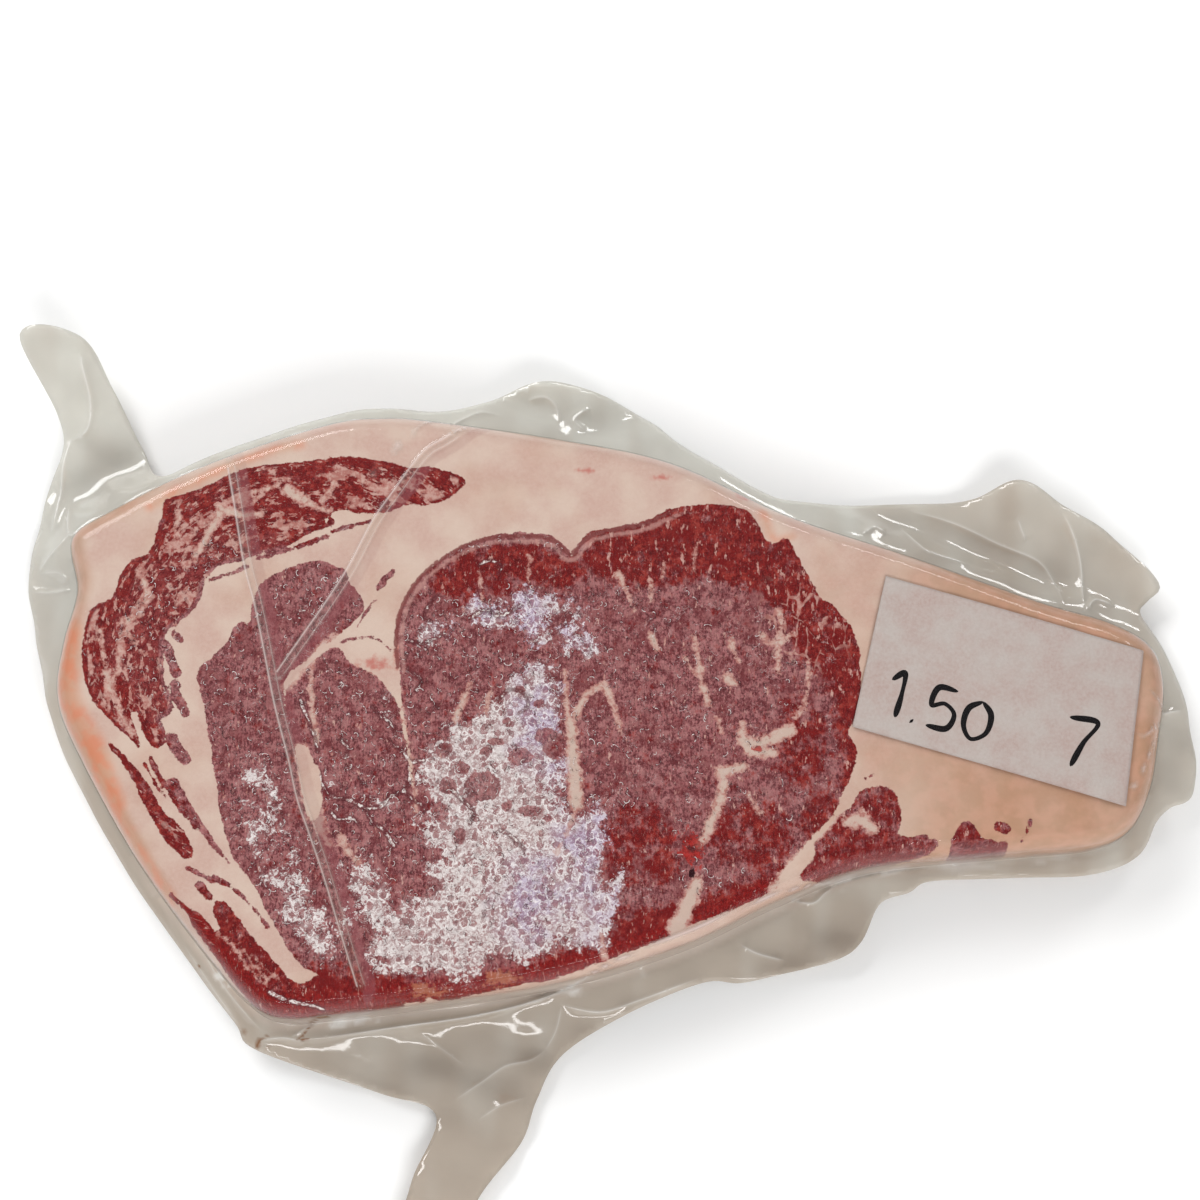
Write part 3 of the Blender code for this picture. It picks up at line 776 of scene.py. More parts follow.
CAP_CENTRE = px([(300, 660)])[0]
CAP_TURN_RADIUS = 55.0
DUSKY_SPOTS = [
    (752, 835, 62, 48), (640, 850, 58, 62), (800, 745, 40, 60), (470, 585, 60, 26), (600, 925, 60, 30),
    (868, 828, 110, 70), (990, 838, 60, 34),
]
FROST_THIN_SPOTS = [(592, 850, 28, 75), (380, 920, 34, 50)]
BLOOD_SPOTS = [(692, 848, 17, 20), (757, 748, 6, 5), (574, 541, 3, 3)]
BLOOD_HOLE = (692, 873, 4, 7)
# Where a bluish lamp's reflection is painted into the smears as a violet tint
VIOLET_REFLECTION_SPOTS = [
    (520, 620, 110, 60), (550, 720, 55, 80), (590, 860, 50, 100), (540, 900, 60, 60), (640, 660, 40, 60),
]
FAT_BLUSHES = [(585, 470, 12, 4), (661, 477, 15, 4), (745, 492, 12, 8), (378, 664, 26, 9), (398, 655, 6, 26)]
AMBER_SPOTS = [(500, 978, 22, 9), (425, 990, 26, 9)]
ORANGE_STROKES = [
    (4.5, 3.6, [(64, 632), (63, 688), (74, 718), (91, 747), (102, 779), (112, 802)]),
    (2.4, 2.0, [(112, 802), (123, 829), (148, 871), (166, 898)]),
    (1.6, 1.2, [(150, 505), (190, 484), (225, 467), (270, 450), (300, 444)]),
    (1.2, 0.8, [(764, 512), (768, 528), (776, 540), (792, 536)]),
]
TAIL_WARMTH_START, TAIL_WARMTH_END = 40.0, 120.0


def grain_field(points):
    """Coordinates along and across the meat's fibres: round the cap's arc, and straight elsewhere."""
    offset = points - CAP_CENTRE
    angle = np.arctan2(offset[:, 1], -offset[:, 0])
    reach = np.linalg.norm(offset, axis=1)
    in_cap = loop_depth(points, CAP, 3.0) > -3.0
    in_cap |= points[:, 0] < -100
    along = np.where(in_cap, angle * CAP_TURN_RADIUS, points[:, 1])
    across = np.where(in_cap, reach + 200.0, points[:, 0])
    return np.stack([along, across, np.zeros(len(points))], 1)


def marble_field(points):
    """Density of fine marbling: rich in the cap, some at the eye's far end, little elsewhere."""
    cap = smooth_step(loop_depth(points, CAP, 3.0), -1.0, 2.0)
    far_end = smooth_step(points[:, 0], 0.0, 62.0) * 0.42
    strip = 0.8 * smooth_step(loop_depth(points, TAIL_STRIP, 3.0), -1.0, 2.0)
    red_back = 0.62 * smooth_step(loop_depth(points, WET_RED["eye_back"], 3.0), -1.0, 2.0)
    return np.max([cap, far_end, strip, red_back, np.full(len(points), 0.15)], axis=0)


def network_field(points):
    """Where the eye is broken into cells by thin fat, near its far end."""
    middle = px([(806, 622)])[0]
    return np.exp(-(((points[:, 0] - middle[0]) / 13) ** 2) - ((points[:, 1] - middle[1]) / 14) ** 2)


def ellipse_field(points, ellipses):
    """1 in the middle of the nearest ellipse, 0 at its edge, negative beyond."""
    value = np.full(len(points), -9.0)
    for u, v, half_u, half_v in ellipses:
        centre = px([(u, v)])[0]
        reach = np.linalg.norm((points - centre) / (np.array([half_u, half_v]) * MM_PER_PIXEL), axis=1)
        value = np.maximum(value, 1 - reach)
    return value


def near_side(points):
    """1 along the edge nearest the camera, 0 along the rest."""
    return smooth_step(-points[:, 1], 62.0, 80.0)


def amber_field(points):
    """Warm yellow and orange in the fat: round the rim, and towards the end of the tail."""
    depth = depth_inside(points, OUTLINE)
    left = smooth_step(-points[:, 0], 95.0, 135.0)
    rim = (0.35 + 0.55 * left) * smooth_step(-depth, -4.5 - 5.0 * left, -1.0 - 2.0 * left)
    tail = 0.95 * smooth_step(points[:, 0], TAIL_WARMTH_START, TAIL_WARMTH_END)
    drift = 0.2 * lattice_noise(points, 15.0, 5) + 0.1 * lattice_noise(points, 6.0, 6)
    return np.clip(rim + tail + drift, 0, 1)


def rim_field(points):
    """1 along the near edge, where wet lean is pressed dark and clear against the film."""
    return near_side(points) * smooth_step(-depth_inside(points, OUTLINE), -9.0, -5.0)


STEAK_FIELDS = {
    "lean": lean_depth,
    "vein": lambda points: strokes_depth(points, FAT_VEINS),
    "thin_frost": lambda points: np.clip(ellipse_field(points, FROST_THIN_SPOTS) * 2.0, 0, 1),
    "violet_reflection": lambda points: np.clip(ellipse_field(points, VIOLET_REFLECTION_SPOTS) * 2.0, 0, 1),
    "sheath": sheath_field,
    "sheath_inner": sheath_inner_field,
    "wet": wet_field,
    "frost_glare": smear_glare_depth,
    "island": island_depth,
    "band": pleat_band,
    "grain": grain_field,
    "marble": marble_field,
    "network": network_field,
    "blood": lambda points: ellipse_field(points, BLOOD_SPOTS),
    "hole": lambda points: ellipse_field(points, [BLOOD_HOLE]),
    "blush": lambda points: ellipse_field(points, FAT_BLUSHES),
    "amber_spot": lambda points: ellipse_field(points, AMBER_SPOTS),
    "amber": amber_field,
    "orange": lambda points: smooth_step(strokes_depth(points, ORANGE_STROKES), -1.6, 2.4),
    "glass": lambda points: strokes_depth(points, GLASS_LINES),
    "rim": rim_field,
}


def build_steak():
    """The steak: rounded slab with the low relief of its muscles on the cut face."""
    rings = [ring(OUTLINE, inset) for inset in rounding_insets(TOP_EDGE_ROUNDING, WALL_ANGLES)]
    grid = honeycomb(OUTLINE, FACE_GRID)
    grid = grid[depth_inside(grid, OUTLINE) > TOP_EDGE_ROUNDING + FACE_GRID / 2]
    top_plan, top_faces = fill(OUTLINE, np.vstack([*rings, grid]))
    depth = depth_inside(top_plan, OUTLINE)
    depth[: len(OUTLINE)] = 0.0
    lean = lean_depth(top_plan)
    relief = 0.22 * smooth_step(lean, -1.0, 2.5) - 0.22
    relief += 0.10 * lattice_noise(top_plan, 9.0, 1) + 0.05 * lattice_noise(top_plan, 3.0, 2) - 0.15
    relief -= 0.5 * np.clip(ellipse_field(top_plan, [BLOOD_HOLE]), 0, 1)
    face = top_level(top_plan) + relief * smooth_step(depth, 0.5, 6.0)
    top = (top_plan, SEAM_HEIGHT + (face - SEAM_HEIGHT) * rounding(depth, TOP_EDGE_ROUNDING), top_faces)

    rings = [ring(OUTLINE, inset) for inset in rounding_insets(BOTTOM_EDGE_ROUNDING, LOW_WALL_ANGLES)]
    grid = honeycomb(OUTLINE, UNDERSIDE_GRID)
    grid = grid[depth_inside(grid, OUTLINE) > BOTTOM_EDGE_ROUNDING + UNDERSIDE_GRID / 2]
    low_plan, low_faces = fill(OUTLINE, np.vstack([*rings, grid]))
    depth = depth_inside(low_plan, OUTLINE)
    depth[: len(OUTLINE)] = 0.0
    under = SEAM_HEIGHT - (SEAM_HEIGHT - STEAK_REST) * rounding(depth, BOTTOM_EDGE_ROUNDING)
    return closed_sheets("steak_meat", top, (low_plan, under, low_faces), len(OUTLINE), STEAK_FIELDS)


def label_depth(points):
    """Distance inside the slip of paper."""
    return depth_inside(points, np.array(LABEL_CORNERS, float))


def pleat_rise(points):
    """How far the film stands off the meat along its pleats."""
    def rise(distance, share, side):
        signed = distance * side
        crest = PLEAT_HEIGHT * np.exp(-((signed / PLEAT_HALF_WIDTH) ** 2))
        lean_to = BAND_LIFT * np.exp(-(((signed - BAND_OFFSET) / BAND_HALF_WIDTH) ** 2))
        return (crest + lean_to) * faded(share, 0.08)

    return np.max([np.zeros(len(points)), *[stroke_field(points, c, rise) for c in PLEATS.values()]], axis=0)


def crease_rise(points):
    """Sharp crests of the folds in the spare film."""
    crests = [np.zeros(len(points))]
    for height, half_width, corners in CREASES:
        def crest(distance, share, side):
            return CREASE_RISE * height * faded(share, 0.15) * np.exp(-distance / half_width)

        crests.append(stroke_field(points, corners, crest, CREASE_HEIGHT))
    return np.max(crests, axis=0)


# Direction in which the near edge of the steak runs
NEAR_EDGE_RUN = (0.966, 0.259)


def fold_and_glint_field(points):
    """1 on the crest of a crease, less on a pleat's two fine lines and least on the ribbon between them:
    milky plies with painted highlights along them, and painted glints over the near wall.
    """
    def pleat(distance, share, side):
        signed = distance * side
        first = 0.75 * np.exp(-((signed / 0.24) ** 2))
        second = 0.38 * np.exp(-(((signed - RIBBON_WIDTH) / 0.22) ** 2))
        ribbon = 0.07 * smooth_step(signed, -0.2, 0.3) * smooth_step(RIBBON_WIDTH - signed, -0.2, 0.3)
        return np.maximum(ribbon, first + second)

    def crease(distance, share, side):
        return 0.8 * min(1.0, height / 1.8) * faded(share, 0.25) * np.exp(-((distance / 0.26) ** 2))

    # Painted glints: white streaks along the film over the near wall
    out = -depth_inside(points, OUTLINE)
    on_wall = near_side(points) * smooth_step(out, -1.8, -0.4) * (1 - smooth_step(out, 1.4, 3.0))
    along = points[:, 0] * NEAR_EDGE_RUN[0] + points[:, 1] * NEAR_EDGE_RUN[1]
    across = points[:, 1] * NEAR_EDGE_RUN[0] - points[:, 0] * NEAR_EDGE_RUN[1]
    streaks = lattice_noise(np.stack([along * 0.2, across], 1), 1.3, 51)
    streaks = streaks + 0.7 * lattice_noise(points, 9.0, 52)
    painted_glints = 0.85 * on_wall * smooth_step(streaks, 0.3, 0.9)
    pleats = [stroke_field(points, corners, pleat) for corners in PLEATS.values()]
    creases = []
    for height, _, corners in CREASES:
        creases.append(stroke_field(points, corners, crease, CREASE_HEIGHT))
    return np.max([painted_glints, *pleats, *creases], axis=0)


def tent_field(points):
    """1 where the film bridges from the near wall of the steak to the skirt."""
    out = -depth_inside(points, OUTLINE)
    return near_side(points) * smooth_step(out, -2.4, -0.8) * (1 - smooth_step(out, 0.6, 3.0))


def haze_field(points):
    """How much of the film's own grey shows: little where it is drawn on the meat, most in the skirt."""
    out = -depth_inside(points, OUTLINE)
    far = smooth_step(out, -0.3, 0.7)
    near = smooth_step(out, -1.5, -0.2)
    near_share = near_side(points)
    ripple = 1 + 0.08 * lattice_noise(points * (1.0, 0.4), 6.0, 41) + 0.05 * lattice_noise(points, 2.8, 42)
    return (far * (1 - near_share) + near * near_share) * ripple


def warmth_field(points):
    """The film's tint: cool grey at the back, warm beige at the front and beyond the tail."""
    front = smooth_step(-points[:, 1], -40.0, 110.0)
    beyond_tail = 0.55 * smooth_step(points[:, 0], 30.0, 120.0)
    stripes = 0.22 * lattice_noise(points * (1.0, 0.3), 5.0, 61) + 0.15 * lattice_noise(points, 14.0, 62)
    return np.clip(np.maximum(front, beyond_tail) + stripes, 0, 1)


FILM_FIELDS = {
    "fold": fold_and_glint_field,
    "tent": tent_field,
    "haze": haze_field,
    "warmth": warmth_field,
    "juice": lambda points: np.clip(strokes_depth(points, JUICE_LINES, CREASE_HEIGHT) / 0.3, 0, 1),
}


def path_rows(paths, offsets, step, height):
    """Rows of points beside each path, so that a crest along it is crisp."""
    rows = []
    for corners in paths:
        path = smooth_path(px(corners, height), step)
        tangent = np.gradient(path, axis=0)
        tangent /= np.linalg.norm(tangent, axis=1)[:, None]
        normal = np.stack([-tangent[:, 1], tangent[:, 0]], 1)
        rows += [path + normal * offset for offset in offsets]
    return np.vstack(rows)


def spaced(points, taken, gap):
    """The points that keep a gap from those already taken, found on a coarse grid."""
    cells = set(map(tuple, np.floor(taken / gap).astype(int)))
    keep = []
    for i, cell in enumerate(np.floor(points / gap).astype(int)):
        if tuple(cell) not in cells:
            keep.append(i)
    return points[keep]


def in_skirt(points, from_wall, from_edge):
    """The points that lie in the skirt, with a gap to the steak's wall and to the free edge."""
    clear_of_wall = depth_inside(points, OUTLINE) < -FILM_SIDE - from_wall
    return points[clear_of_wall & (depth_inside(points, FREE_EDGE) > from_edge)]


# Rows of points beside each fold, in millimetres, their step along it and the gap to other points
PLEAT_ROWS, PLEAT_ROW_STEP, PLEAT_GAP = (
    (-1.2, -0.5, -0.25, 0.0, 0.25, 0.6, 1.3, 1.65, 1.9, 2.15, 2.8, 3.6), 0.8, 0.8
)
CREASE_ROWS, CREASE_ROW_STEP, CREASE_GAP = (-1.5, -0.8, -0.3, 0.0, 0.3, 0.8, 1.5), 0.9, 0.7

# How far the film stands up over the edge of the slip, and how high its large and small crumples are
OVER_SLIP = 0.42
UPPER_CRUMPLE, UPPER_FINE_CRUMPLE = 0.4, 0.12
LOWER_CRUMPLE, LOWER_FINE_CRUMPLE = 0.3, 0.12


def build_film_upper():
    """The upper film: drawn on the steak and the slip, down the wall, then out as the skirt."""
    insets = rounding_insets(TOP_EDGE_ROUNDING, (0, *FILM_WALL_ANGLES))
    rings = [ring(OUTLINE, inset - FILM_SIDE) for inset in insets]
    rows = path_rows(PLEATS.values(), PLEAT_ROWS, PLEAT_ROW_STEP, FACE_HEIGHT)
    rows = rows[depth_inside(rows, OUTLINE) > TOP_EDGE_ROUNDING]
    crests = path_rows([corners for _, _, corners in CREASES], CREASE_ROWS, CREASE_ROW_STEP, CREASE_HEIGHT)
    crests = in_skirt(crests, 0.4, 0.6)
    face = honeycomb(OUTLINE, FILM_FACE_GRID)
    face = face[depth_inside(face, OUTLINE) > TOP_EDGE_ROUNDING + FILM_FACE_GRID / 2]
    skirt = in_skirt(honeycomb(FREE_EDGE, FILM_SKIRT_GRID), 0.7, 0.8)
    face = spaced(face, rows, PLEAT_GAP)
    skirt = spaced(skirt, crests, CREASE_GAP)
    plan, faces = fill(FREE_EDGE, np.vstack([*rings, rows, crests, face, skirt]))

    depth = depth_inside(plan, OUTLINE)
    nested = depth + FILM_SIDE
    lift = FILM_LIFT + pleat_rise(plan) + OVER_SLIP * smooth_step(label_depth(plan), -1.2, 0.2)
    lift += 0.04 * lattice_noise(plan, 3.5, 7)
    stand = top_level(plan) + lift - SEAM_HEIGHT
    over = SEAM_HEIGHT + stand * rounding(nested, TOP_EDGE_ROUNDING + FILM_SIDE)
    crumple = UPPER_CRUMPLE * lattice_noise(plan, 13.0, 11)
    crumple = crumple + UPPER_FINE_CRUMPLE * lattice_noise(plan, 3.4, 12)
    spare = skirt_height(plan, -nested) + (crumple + 0.2) * smooth_step(-nested, 0.0, 3.0)
    spare = spare + crease_rise(plan) * smooth_step(-nested, 0.0, 1.5)
    height = np.where(nested > 0, over, np.maximum(spare, SKIRT_REST + PLY_SHEET + 0.5))
    return closed_sheets(
        "film_upper", (plan, height, faces), (plan, height - FILM_SHEET, faces), len(FREE_EDGE), FILM_FIELDS
    )


def build_film_lower():
    """The lower film: a tray under the steak that comes up to the seam and runs out under the skirt."""
    angles = (0, *LOW_WALL_ANGLES)
    rings = [ring(OUTLINE, inset - FILM_SIDE) for inset in rounding_insets(BOTTOM_EDGE_ROUNDING, angles)]
    skirt = in_skirt(honeycomb(FREE_EDGE, FILM_SKIRT_GRID * 1.3), 0.9, 0.9)
    under = honeycomb(OUTLINE, UNDERSIDE_GRID)
    under = under[depth_inside(under, OUTLINE) > BOTTOM_EDGE_ROUNDING + UNDERSIDE_GRID / 2]
    plan, faces = fill(FREE_EDGE, np.vstack([*rings, skirt, under]))
    nested = depth_inside(plan, OUTLINE) + FILM_SIDE
    tray = SEAM_HEIGHT - (SEAM_HEIGHT - PLY_SHEET) * rounding(nested, BOTTOM_EDGE_ROUNDING) - 0.05
    crumple = LOWER_CRUMPLE * lattice_noise(plan, 9.0, 21) + LOWER_FINE_CRUMPLE * lattice_noise(plan, 4.0, 22)
    spare = skirt_height(plan, -nested) - BAG_THICKNESS + crumple * smooth_step(-nested, 0.0, 3.0)
    height = np.where(nested > 0, tray, np.maximum(spare, PLY_SHEET + 0.2))
    under = height - PLY_SHEET * 0.6
    return closed_sheets(
        "film_lower", (plan, height, faces), (plan, under, faces), len(FREE_EDGE), FILM_FIELDS
    )


# Two plain pen notes on the slip, drawn as strokes in the slip's own frame: across and down from its
# upper left corner, in millimetres
PEN_STROKES = [
    [(7.6, 27.0), (10.6, 24.4), (10.9, 30.0), (10.4, 36.6)],
    [(14.6, 36.2), (15.2, 36.6)],
    [(25.4, 25.2), (20.2, 25.6), (19.2, 30.6), (22.6, 29.4), (25.6, 31.6), (24.2, 35.8), (18.8, 36.4)],
    [(32.4, 26.0), (29.0, 28.8), (28.6, 33.6), (31.2, 36.6), (34.8, 34.0), (35.2, 29.0), (32.4, 26.0)],
    [(55.8, 23.4), (63.4, 22.8), (60.6, 29.2), (58.4, 36.2)],
]
PEN_HALF_WIDTH = 0.85
PEN_LEAST_HALF_WIDTH = 0.12
PEN_STEP = 0.35

# The ribbon's section: share of its half width across, and height over the paper in millimetres
PEN_SECTION = ((1, 0.02), (0.7, 0.06), (-0.7, 0.06), (-1, 0.02), (-0.7, 0.0), (0.7, 0.0))
LABEL_CELLS = (78, 46)


def label_point(across, down):
    """A place on the slip, from the share across and down it."""
    top_left, top_right, low_right, low_left = (np.array(corner, float) for corner in LABEL_CORNERS)
    left = top_left + (low_left - top_left) * down[:, None]
    right = top_right + (low_right - top_right) * down[:, None]
    return left + (right - left) * across[:, None]


def label_height(plan):
    """The slip's underside: on the steak's face, with a few soft wrinkles."""
    depth = depth_inside(plan, OUTLINE)
    lift = LABEL_LIFT + 0.08 * lattice_noise(plan, 11.0, 31) + 0.1 * lattice_noise(plan * (1.0, 0.2), 3.4, 32)
    return SEAM_HEIGHT + (top_level(plan) + lift - SEAM_HEIGHT) * rounding(depth, TOP_EDGE_ROUNDING)


def build_label():
    """The slip of paper: a thin closed sheet with soft wrinkles."""
    across, down = LABEL_CELLS
    grid_a, grid_d = np.meshgrid(np.linspace(0, 1, across + 1), np.linspace(0, 1, down + 1))
    plan = label_point(grid_a.ravel(), grid_d.ravel())
    under = label_height(plan)
    count = len(plan)
    verts = np.vstack([place_in_row(plan, under + LABEL_SHEET), place_in_row(plan, under)])
    index = np.arange(count).reshape(down + 1, across + 1)
    a, b = index[:-1, :-1].ravel(), index[:-1, 1:].ravel()
    c, d = index[1:, 1:].ravel(), index[1:, :-1].ravel()
    faces = [*zip(d, c, b, a), *zip(a + count, b + count, c + count, d + count)]
    rim = np.concatenate([index[0, :-1], index[:-1, -1], index[-1, :0:-1], index[:0:-1, 0]])
    after = np.roll(rim, -1)
    faces += [*zip(rim, after, after + count, rim + count)]
    return solid_mesh("paper_slip", verts, [tuple(int(k) for k in face) for face in faces])


def build_pen_notes():
    """Pen strokes: a flat, round-ended ribbon of ink for each, just above the paper."""
    top_left, top_right, _, low_left = (np.array(corner, float) for corner in LABEL_CORNERS)
    right = (top_right - top_left) / np.linalg.norm(top_right - top_left)
    down = (low_left - top_left) / np.linalg.norm(low_left - top_left)
    body = bmesh.new()
    for corners in PEN_STROKES:
        path = smooth_path(corners, PEN_STEP)
        path = top_left + path[:, 0:1] * right + path[:, 1:2] * down
        tangent = np.gradient(path, axis=0)
        tangent /= np.linalg.norm(tangent, axis=1)[:, None]
        aside = np.stack([-tangent[:, 1], tangent[:, 0]], 1)
        run = np.linspace(0, 1, len(path))
        half = PEN_HALF_WIDTH * (0.82 + 0.18 * np.sin(run * 9.0)) * np.sqrt(1 - (2 * run - 1) ** 10)
        half = np.maximum(half, PEN_LEAST_HALF_WIDTH)
        rings = []
        for offset, lift in PEN_SECTION:
            plan = path + aside * (half * offset)[:, None]
            rings.append(place_in_row(plan, label_height(plan) + LABEL_SHEET + lift))
        loops = [[body.verts.new(r[i]) for r in rings] for i in range(len(path))]
        for first, second in zip(loops, loops[1:]):
            for k in range(len(first)):
                m = (k + 1) % len(first)
                body.faces.new((first[k], first[m], second[m], second[k]))
        body.faces.new(loops[0][::-1])
        body.faces.new(loops[-1])
    return facing_out("pen_notes", body)


def linear(code, alpha=1.0):
    """An sRGB hex colour as linear values."""
    parts = [int(code[i : i + 2], 16) / 255 for i in (1, 3, 5)]
    return (*[c / 12.92 if c <= 0.04045 else ((c + 0.055) / 1.055) ** 2.4 for c in parts], alpha)


def add(tree, kind, links=None, **settings):
    """One node, with its settings and the links into it. A setting or link is named for its socket."""
    node = tree.nodes.new(kind)
    for key, value in settings.items():
        setattr(node, key, value)
    for socket, value in (links or {}).items():
        target = node.inputs[socket]
        if isinstance(value, bpy.types.NodeSocket):
            tree.links.new(value, target)
        else:
            target.default_value = value
    return node


class Shade:
    """A material's node tree, with the few steps that these materials are made of."""

    def __init__(self, name):
        self.material = bpy.data.materials.new(name)
        self.material.use_nodes = True
        self.tree = self.material.node_tree
        self.tree.nodes.clear()
        place = add(self.tree, "ShaderNodeTexCoord").outputs["Object"]
        self.mm = self.math("SCALE", place, 1000.0)

    def math(self, operation, a, b=0.0, c=0.0):
        if operation == "SCALE":
            return add(self.tree, "ShaderNodeVectorMath", {0: a, 3: b}, operation="SCALE").outputs[0]
        return add(self.tree, "ShaderNodeMath", {0: a, 1: b, 2: c}, operation=operation).outputs[0]

    def plus(self, a, b):
        return self.math("ADD", a, b)

    def minus(self, a, b):
        return self.math("SUBTRACT", a, b)

    def times(self, a, b):
        return self.math("MULTIPLY", a, b)

    def most(self, a, b):
        return self.math("MAXIMUM", a, b)

    def edges(self, where):
        """Distance to the nearest edge between irregular cells, in cell widths."""
        links = {"Vector": where, "Scale": 1.0}
        kind = {"feature": "DISTANCE_TO_EDGE", "voronoi_dimensions": "2D"}
        return add(self.tree, "ShaderNodeTexVoronoi", links, **kind).outputs["Distance"]

    def cells(self, where):
        """Distance to the nearest of many scattered centres, in cell widths, and its own random value."""
        flat = {"voronoi_dimensions": "2D"}
        node = add(self.tree, "ShaderNodeTexVoronoi", {"Vector": where, "Scale": 1.0}, **flat)
        return node.outputs["Distance"], node.outputs["Color"]

    def line(self, value, level, width):
        """1 where the value crosses the level, fading to nothing a width away: a curled line."""
        return self.ramp(self.math("ABSOLUTE", self.minus(value, level)), width, width * 0.25)

    def warped(self, where, period, amount):
        """The place moved about by soft noise, both in the units of the place given."""
        links = {"Vector": where, "Scale": 1.0 / period, "Detail": 1.0}
        swirl = add(self.tree, "ShaderNodeTexNoise", links, noise_dimensions="2D").outputs["Color"]
        links = {0: swirl, 1: (amount, amount, amount), 2: where}
        return add(self.tree, "ShaderNodeVectorMath", links, operation="MULTIPLY_ADD").outputs[0]

    def field(self, name, output="Fac"):
        return add(self.tree, "ShaderNodeAttribute", attribute_name=name).outputs[output]

    def noise(self, period, detail=3.0, roughness=0.55, where=None, distortion=0.0):
        """Noise whose hills are about one period apart, in millimetres."""
        links = {
            "Vector": where or self.mm, "Scale": 1.0 / period, "Detail": detail, "Roughness": roughness,
            "Distortion": distortion,
        }
        flatness = {"noise_dimensions": "2D"} if where else {}
        return add(self.tree, "ShaderNodeTexNoise", links, **flatness).outputs["Fac"]

    def centred(self, value, amount):
        """Noise turned from 0..1 to -amount..amount, about."""
        return self.math("MULTIPLY", self.math("SUBTRACT", value, 0.5), 2.0 * amount)

    def ramp(self, value, low, high, to_low=0.0, to_high=1.0):
        links = {"Value": value, "From Min": low, "From Max": high, "To Min": to_low, "To Max": to_high}
        return add(self.tree, "ShaderNodeMapRange", links, interpolation_type="SMOOTHSTEP").outputs[0]

    def mix(self, share, a, b):
        a = linear(a) if isinstance(a, str) else a
        b = linear(b) if isinstance(b, str) else b
        node = add(self.tree, "ShaderNodeMix", data_type="RGBA")
        for socket, value in ((node.inputs[0], share), (node.inputs[6], a), (node.inputs[7], b)):
            if isinstance(value, bpy.types.NodeSocket):
                self.tree.links.new(value, socket)
            else:
                socket.default_value = value
        return node.outputs[2]

    def stretched(self, where, along, across):
        """The fibre coordinates, in periods: long along the fibre and short across it."""
        scale = (1.0 / along, 1.0 / across, 1.0)
        return add(self.tree, "ShaderNodeVectorMath", {0: where, 1: scale}, operation="MULTIPLY").outputs[0]

    def bump(self, height, distance, strength=1.0):
        links = {"Height": height, "Distance": distance * MM, "Strength": strength}
        return add(self.tree, "ShaderNodeBump", links).outputs[0]

    def finish(self, shader):
        add(self.tree, "ShaderNodeOutputMaterial", {"Surface": shader})
        return self.material


